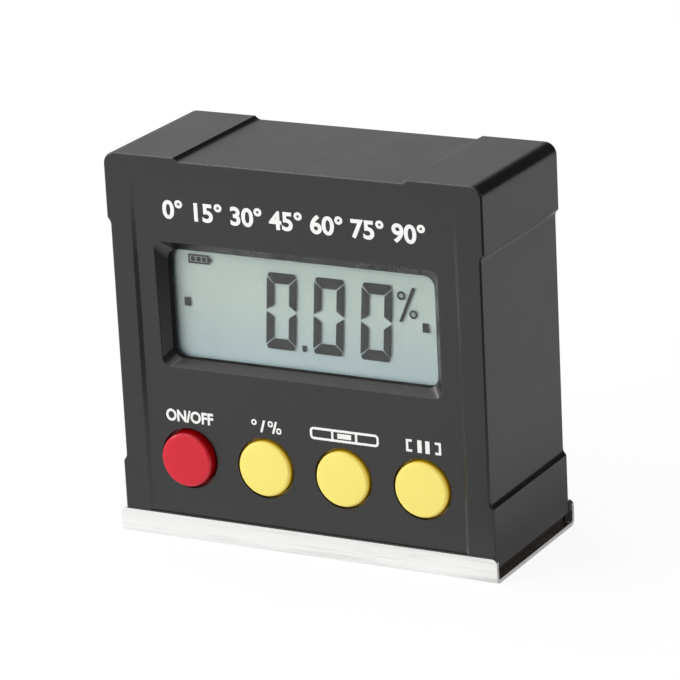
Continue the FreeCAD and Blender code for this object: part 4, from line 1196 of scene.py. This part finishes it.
@dataclass
class Cell:
    """A round cell: a steel can with a crimped nub, in a shrunk printed sleeve."""

    name: str
    plus_end: float         # X of the nub's face
    toward_plus: int        # 1 where the nub points to +X, -1 where it points to -X
    z: float
    y: float = 4.2
    radius: float = 5.25
    length: float = 44.5
    nub_radius: float = 1.9
    nub_length: float = 0.9
    sleeve: float = 0.1     # thickness of the film
    band: float = 9.0       # width of the pale band at the nub end
    sides: int = 64         # of its circle
    plus: float = 4.9       # from the nub's face to the plus sign
    minus: float = 5.0      # from the flat end to the minus sign
    arm: float = 1.7        # half the length of a sign's strokes
    half: float = 0.32      # half their width
    ink: float = 0.02       # thickness of the signs

    def turn(self, name: str, profile: Sequence[Flat], finish: Finish,
             replaces: Sequence[str] = ()) -> None:
        """Turn a profile about the cell's own axis.

        Args:
            name: The piece's name.
            profile: Pairs of distance from the nub's face and radius.
            finish: Its surface.
            replaces: The CAD node it stands for.
        """
        bm = bmesh.new()
        turned(bm, profile, millimetres(self.plus_end, self.y, self.z), Vector((-self.toward_plus, 0, 0)),
               Vector((0, 0, 1)), self.sides)
        piece(name, bm, finish, "root", replaces, smooth_below=50)

    def build(self) -> None:
        """Turn the can, the two parts of the sleeve, and mark the ends."""
        can = self.radius - self.sleeve
        shoulder, end = self.nub_length, self.length
        self.turn(f"{self.name}_can", [
            (0.0, 0.0), (0.0, self.nub_radius - 0.25), (0.08, self.nub_radius - 0.07),
            (0.25, self.nub_radius), (shoulder - 0.1, self.nub_radius), (shoulder, self.nub_radius + 0.15),
            (shoulder, 3.4), (shoulder + 0.25, 3.55), (shoulder + 0.25, 3.8), (shoulder, 4.0),
            (shoulder, can - 0.5), (shoulder + 0.15, can - 0.12), (shoulder + 0.5, can),
            (end - 0.5, can), (end - 0.15, can - 0.12), (end, can - 0.5), (end, 3.3), (end - 0.2, 3.1),
            (end - 0.2, 0.0),
        ], NICKEL, (self.name,))
        lip = self.radius - 0.75
        self.turn(f"{self.name}_sleeve_band", [
            (shoulder - 0.06, lip), (shoulder - 0.06, self.radius - 0.4),
            (shoulder + 0.1, self.radius - 0.12), (shoulder + 0.4, self.radius), (self.band, self.radius),
            (self.band, can), (shoulder + 0.5, can), (shoulder + 0.12, can - 0.15), (shoulder, can - 0.5),
            (shoulder, lip), (shoulder - 0.06, lip),
        ], SLEEVE_BAND)
        self.turn(f"{self.name}_sleeve", [
            (self.band, self.radius), (end - 0.4, self.radius), (end - 0.1, self.radius - 0.12),
            (end, self.radius - 0.4), (end, lip), (end - 0.06, lip), (end - 0.15, can - 0.15),
            (end - 0.5, can), (self.band, can), (self.band, self.radius),
        ], SLEEVE_FILM)
        arm, half = self.arm, self.half
        level = [(-arm, -half, arm, half)]
        upright = [(-half, half, half, arm), (-half, -arm, half, -half)]
        self.sign(f"{self.name}_plus", self.plus, level + upright, SLEEVE_FILM)
        self.sign(f"{self.name}_minus", end - self.minus, level, SLEEVE_BAND)

    def sign(self, name: str, along: float, strokes: Sequence[Box], finish: Finish) -> None:
        """Print a sign on the side that faces the door.

        Args:
            name: The piece's name.
            along: Distance of its middle from the nub's face.
            strokes: Its strokes, as boxes about its middle.
            finish: The ink.
        """
        bm = bmesh.new()
        x, back = self.plus_end - self.toward_plus * along, self.y + self.radius
        for left, low, right, high in strokes:
            add_plate(bm, corners_of(x + left, self.z + low, x + right, self.z + high), back, self.ink)
        # All edges but those through the ink are cut, so that the sign can bend.
        long_edges = [edge for edge in bm.edges if edge.calc_length() > 2 * self.ink * MM]
        bmesh.ops.subdivide_edges(bm, edges=long_edges, cuts=5, use_grid_fill=True)
        for vert in bm.verts:
            rise = vert.co.z / MM - self.z
            proud = vert.co.y / MM - back
            vert.co.y = (self.y + math.sqrt(self.radius ** 2 - rise ** 2) + proud) * MM
        piece(name, bm, finish, "root")


@dataclass
class CoilSpring:
    """A coned coil of round wire that presses on a cell's flat end."""

    name: str
    base: float             # X of the contact plate's face
    tip: float              # X of the cell's flat end
    z: float
    y: float = 4.3
    wire: float = 0.5
    base_radius: float = 3.3
    tip_radius: float = 2.1
    turns: float = 3.6
    closed: float = 0.75    # turns that lie flat at each end
    points: int = 18        # of the wire's line in each turn

    def build(self) -> None:
        """Wind the wire and make it a piece."""
        curve = bpy.data.curves.new(self.name, "CURVE")
        curve.dimensions = "3D"
        curve.bevel_depth = self.wire / 2 * MM
        curve.bevel_resolution = 3
        curve.use_fill_caps = True
        steps = int(self.turns * self.points)
        spline = curve.splines.new("NURBS")
        spline.points.add(steps)
        spline.order_u = 4
        spline.use_endpoint_u = True
        spline.resolution_u = 3
        toward = 1 if self.tip > self.base else -1
        start, end = self.base + toward * self.wire / 2, self.tip - toward * self.wire / 2
        for step in range(steps + 1):
            turn = self.turns * step / steps
            share = min(max((turn - self.closed) / (self.turns - 2 * self.closed), 0.0), 1.0)
            radius = self.base_radius + (self.tip_radius - self.base_radius) * share
            angle = FULL_TURN * turn
            place = (start + (end - start) * share, self.y + radius * math.cos(angle),
                     self.z + radius * math.sin(angle))
            spline.points[step].co = (*(c * MM for c in place), 1.0)
        piece(f"{self.name}_coil", meshed(curve), SPRING_WIRE, "root", (self.name,),
              smooth_below=60)


@dataclass
class PowerSupply:
    """Two cells side by side, their contacts and springs."""

    upper_z: float = 33.6
    lower_z: float = 22.4
    end: float = 23.8       # X of the nub's face and of the spring's contact, right or left

    def build(self) -> None:
        """Build the cells and the springs, and dress the contacts."""
        rows = (("upper", 1, self.upper_z), ("lower", -1, self.lower_z))
        for name, side, z in rows:
            Cell(f"{name}_cell", side * self.end, side, z).build()
        for name, side, z in rows:
            CoilSpring(f"{name}_spring", -side * self.end, side * (self.end - Cell.length), z).build()
        dress(NICKEL, "link_contact", "negative_contact", "positive_contact")


@dataclass
class Electronics:
    """The circuit board and what is soldered to it."""

    def build(self) -> None:
        """Dress the board, its screws and its parts."""
        dress(BOARD, "main_board")
        dress(ZINC, "board_screws")
        dress(CHIP_EPOXY, "controller_chip")
        dress(SOLDER, "tilt_sensor", "clock_crystal")
        dress(CERAMIC, "chip_capacitors")
        dress(SWITCH_NYLON, "switch_bodies")


@dataclass(frozen=True)
class SoftLamp:
    """A square soft lamp that faces the object."""

    name: str
    place: Place
    width: float
    power: float            # watts
    in_gloss: bool = True   # whether gloss shows its cloth
    aim: float = 28.0       # height in the object's middle that it faces

    def hang(self) -> None:
        """Hang the lamp in the scene."""
        light = bpy.data.lights.new(self.name, "AREA")
        light.shape = "SQUARE"
        light.size = self.width * MM
        light.energy = self.power
        holder = bpy.data.objects.new(self.name, light)
        holder.location = millimetres(*self.place)
        toward = millimetres(0, 0, self.aim) - holder.location
        holder.rotation_euler = toward.to_track_quat("-Z", "Y").to_euler()
        holder.visible_glossy = self.in_gloss
        bpy.context.scene.collection.objects.link(holder)


@dataclass
class Studio:
    """White table and room, soft lamps, and the camera that took the photograph."""

    distance: float = 589.233       # camera to the base's middle, along the view
    aside: float = -1.104
    above: float = 27.388
    azimuth: float = 28.641         # degrees
    elevation: float = 17.984
    roll: float = -2.895
    lens: float = 213.58            # mm, for a square picture
    sensor: float = 36.0            # mm across
    ambient: float = 0.35           # light of the room on the object
    far_gloss: float = 0.54         # brightness in gloss of the room behind the object
    corner_gloss: float = 0.03      # and of its dark corner to the right
    ceiling_gloss: float = 1.0      # and of the room above and before the object
    to_corner: Flat = (-0.42, -0.1)     # X of the direction over which the room turns into that corner
    to_behind: Flat = (0.2, 0.6)    # Y of the direction over which it turns to lie behind
    table_reach: float = 3000.0     # from its middle to its sides
    table_top: float = -0.02        # just under the steel
    card_reach: float = 150.0       # from the dark card's middle to its sides
    card_place: Place = (95.0, -150.0, 150.0)
    lamps: tuple[SoftLamp, ...] = (
        SoftLamp("key_lamp", (-760, -850, 330), 560, 5.6, in_gloss=False),
        SoftLamp("rim_lamp", (-900, -300, 450), 260, 1.6),
        SoftLamp("front_lamp", (-250, -1100, 160), 500, 3.7, in_gloss=False),
        SoftLamp("edge_lamp", (-480, 350, 860), 260, 1.0),
        SoftLamp("side_lamp", (900, -250, 450), 700, 0.8),
        SoftLamp("top_lamp", (-456, -94, 913), 900, 2.25),
    )

    def build(self) -> None:
        """Set up the room, the table, the dark card, the lamps and the camera."""
        self.room()
        self.table()
        self.dark_card()
        for lamp in self.lamps:
            lamp.hang()
        self.camera()
        bpy.context.scene.view_settings.view_transform = "Standard"

    def room(self) -> None:
        """Make a room that shows white and lights the object softly."""
        world = bpy.data.worlds.new("white_room")
        world.use_nodes = True
        tree = world.node_tree
        tree.nodes.clear()
        direction = add_node(tree, "ShaderNodeTexCoord").outputs["Generated"]
        parts = add_node(tree, "ShaderNodeSeparateXYZ", links={0: direction})
        corner = add_node(tree, "ShaderNodeMapRange",
                          {"From Min": self.to_corner[0], "From Max": self.to_corner[1],
                           "To Min": self.far_gloss, "To Max": self.corner_gloss},
                          {"Value": parts.outputs[0]})
        behind = add_node(tree, "ShaderNodeMapRange",
                          {"From Min": self.to_behind[0], "From Max": self.to_behind[1]},
                          {"Value": parts.outputs[1]})
        in_gloss = add_node(tree, "ShaderNodeMix", {"data_type": "FLOAT", 2: self.ceiling_gloss},
                            {0: behind.outputs[0], 3: corner.outputs[0]})
        path = add_node(tree, "ShaderNodeLightPath")
        lit = add_node(tree, "ShaderNodeMix", {"data_type": "FLOAT", 2: self.ambient},
                       {0: path.outputs["Is Glossy Ray"], 3: in_gloss.outputs[0]})
        level = add_node(tree, "ShaderNodeMix", {"data_type": "FLOAT", 3: 1.0},
                         {0: shown_white(tree), 2: lit.outputs[0]})
        light = add_node(tree, "ShaderNodeBackground", {"Color": linear("#ffffff")},
                         {"Strength": level.outputs[0]})
        add_node(tree, "ShaderNodeOutputWorld", links={"Surface": light.outputs[0]})
        bpy.context.scene.world = world

    def table(self) -> None:
        """Lay the white table under the base."""
        bm = bmesh.new()
        bmesh.ops.create_grid(bm, x_segments=1, y_segments=1, size=self.table_reach * MM)
        bmesh.ops.translate(bm, verts=bm.verts, vec=millimetres(0, 0, self.table_top))
        table = placed("white_table", bm, CARD)

    def dark_card(self) -> None:
        """Stand a dark card on the right that only gloss sees: it draws the object's right edges."""
        bm = bmesh.new()
        bmesh.ops.create_grid(bm, x_segments=1, y_segments=1, size=self.card_reach * MM)
        bmesh.ops.rotate(bm, verts=bm.verts, cent=(0, 0, 0), matrix=Matrix.Rotation(math.pi / 2, 3, "Y"))
        bmesh.ops.translate(bm, verts=bm.verts, vec=millimetres(*self.card_place))
        card = placed("dark_card", bm, BLACK_VELVET)
        for kind in ("camera", "diffuse", "transmission", "shadow", "volume_scatter"):
            setattr(card, f"visible_{kind}", False)

    def camera(self) -> None:
        """Put the camera where the photograph was taken."""
        turn, lift, tilt = (math.radians(a) for a in (self.azimuth, self.elevation, self.roll))
        back = Vector((math.sin(turn) * math.cos(lift), -math.cos(turn) * math.cos(lift), math.sin(lift)))
        level = Vector((math.cos(turn), math.sin(turn), 0))
        upright = back.cross(level)
        right = level * math.cos(tilt) + upright * math.sin(tilt)
        up = upright * math.cos(tilt) - level * math.sin(tilt)
        view = bpy.data.cameras.new("photo_camera")
        view.lens = self.lens
        view.sensor_width = self.sensor
        view.sensor_fit = "HORIZONTAL"
        view.clip_start = 0.01
        holder = bpy.data.objects.new("photo_camera", view)
        axes = Matrix((right, up, back)).transposed()
        place = (back * self.distance + right * self.aside + up * self.above) * MM
        holder.matrix_world = Matrix.Translation(place) @ axes.to_4x4()
        bpy.context.scene.collection.objects.link(holder)
        bpy.context.scene.camera = holder


def main() -> None:
    """Build the gauge piece by piece, then the studio round it."""
    logging.basicConfig(level=logging.INFO, format="%(message)s")
    housing = Housing()
    housing.build()
    PanelPrint(housing).build()
    Display().build()
    PushButton("power", -18.825, -13.2, 0.12, 0.45, RED_ABS, "power_cap").build()
    for name, x in (("unit", -6.275), ("zero", 6.275), ("hold", 18.825)):
        PushButton(name, x, -12.6, 0.05, 0.42, YELLOW_ABS, "key_cap").build()
    SteelBase().build()
    PowerSupply().build()
    Electronics().build()
    Studio().build()


if __name__ == "__main__":
    main()
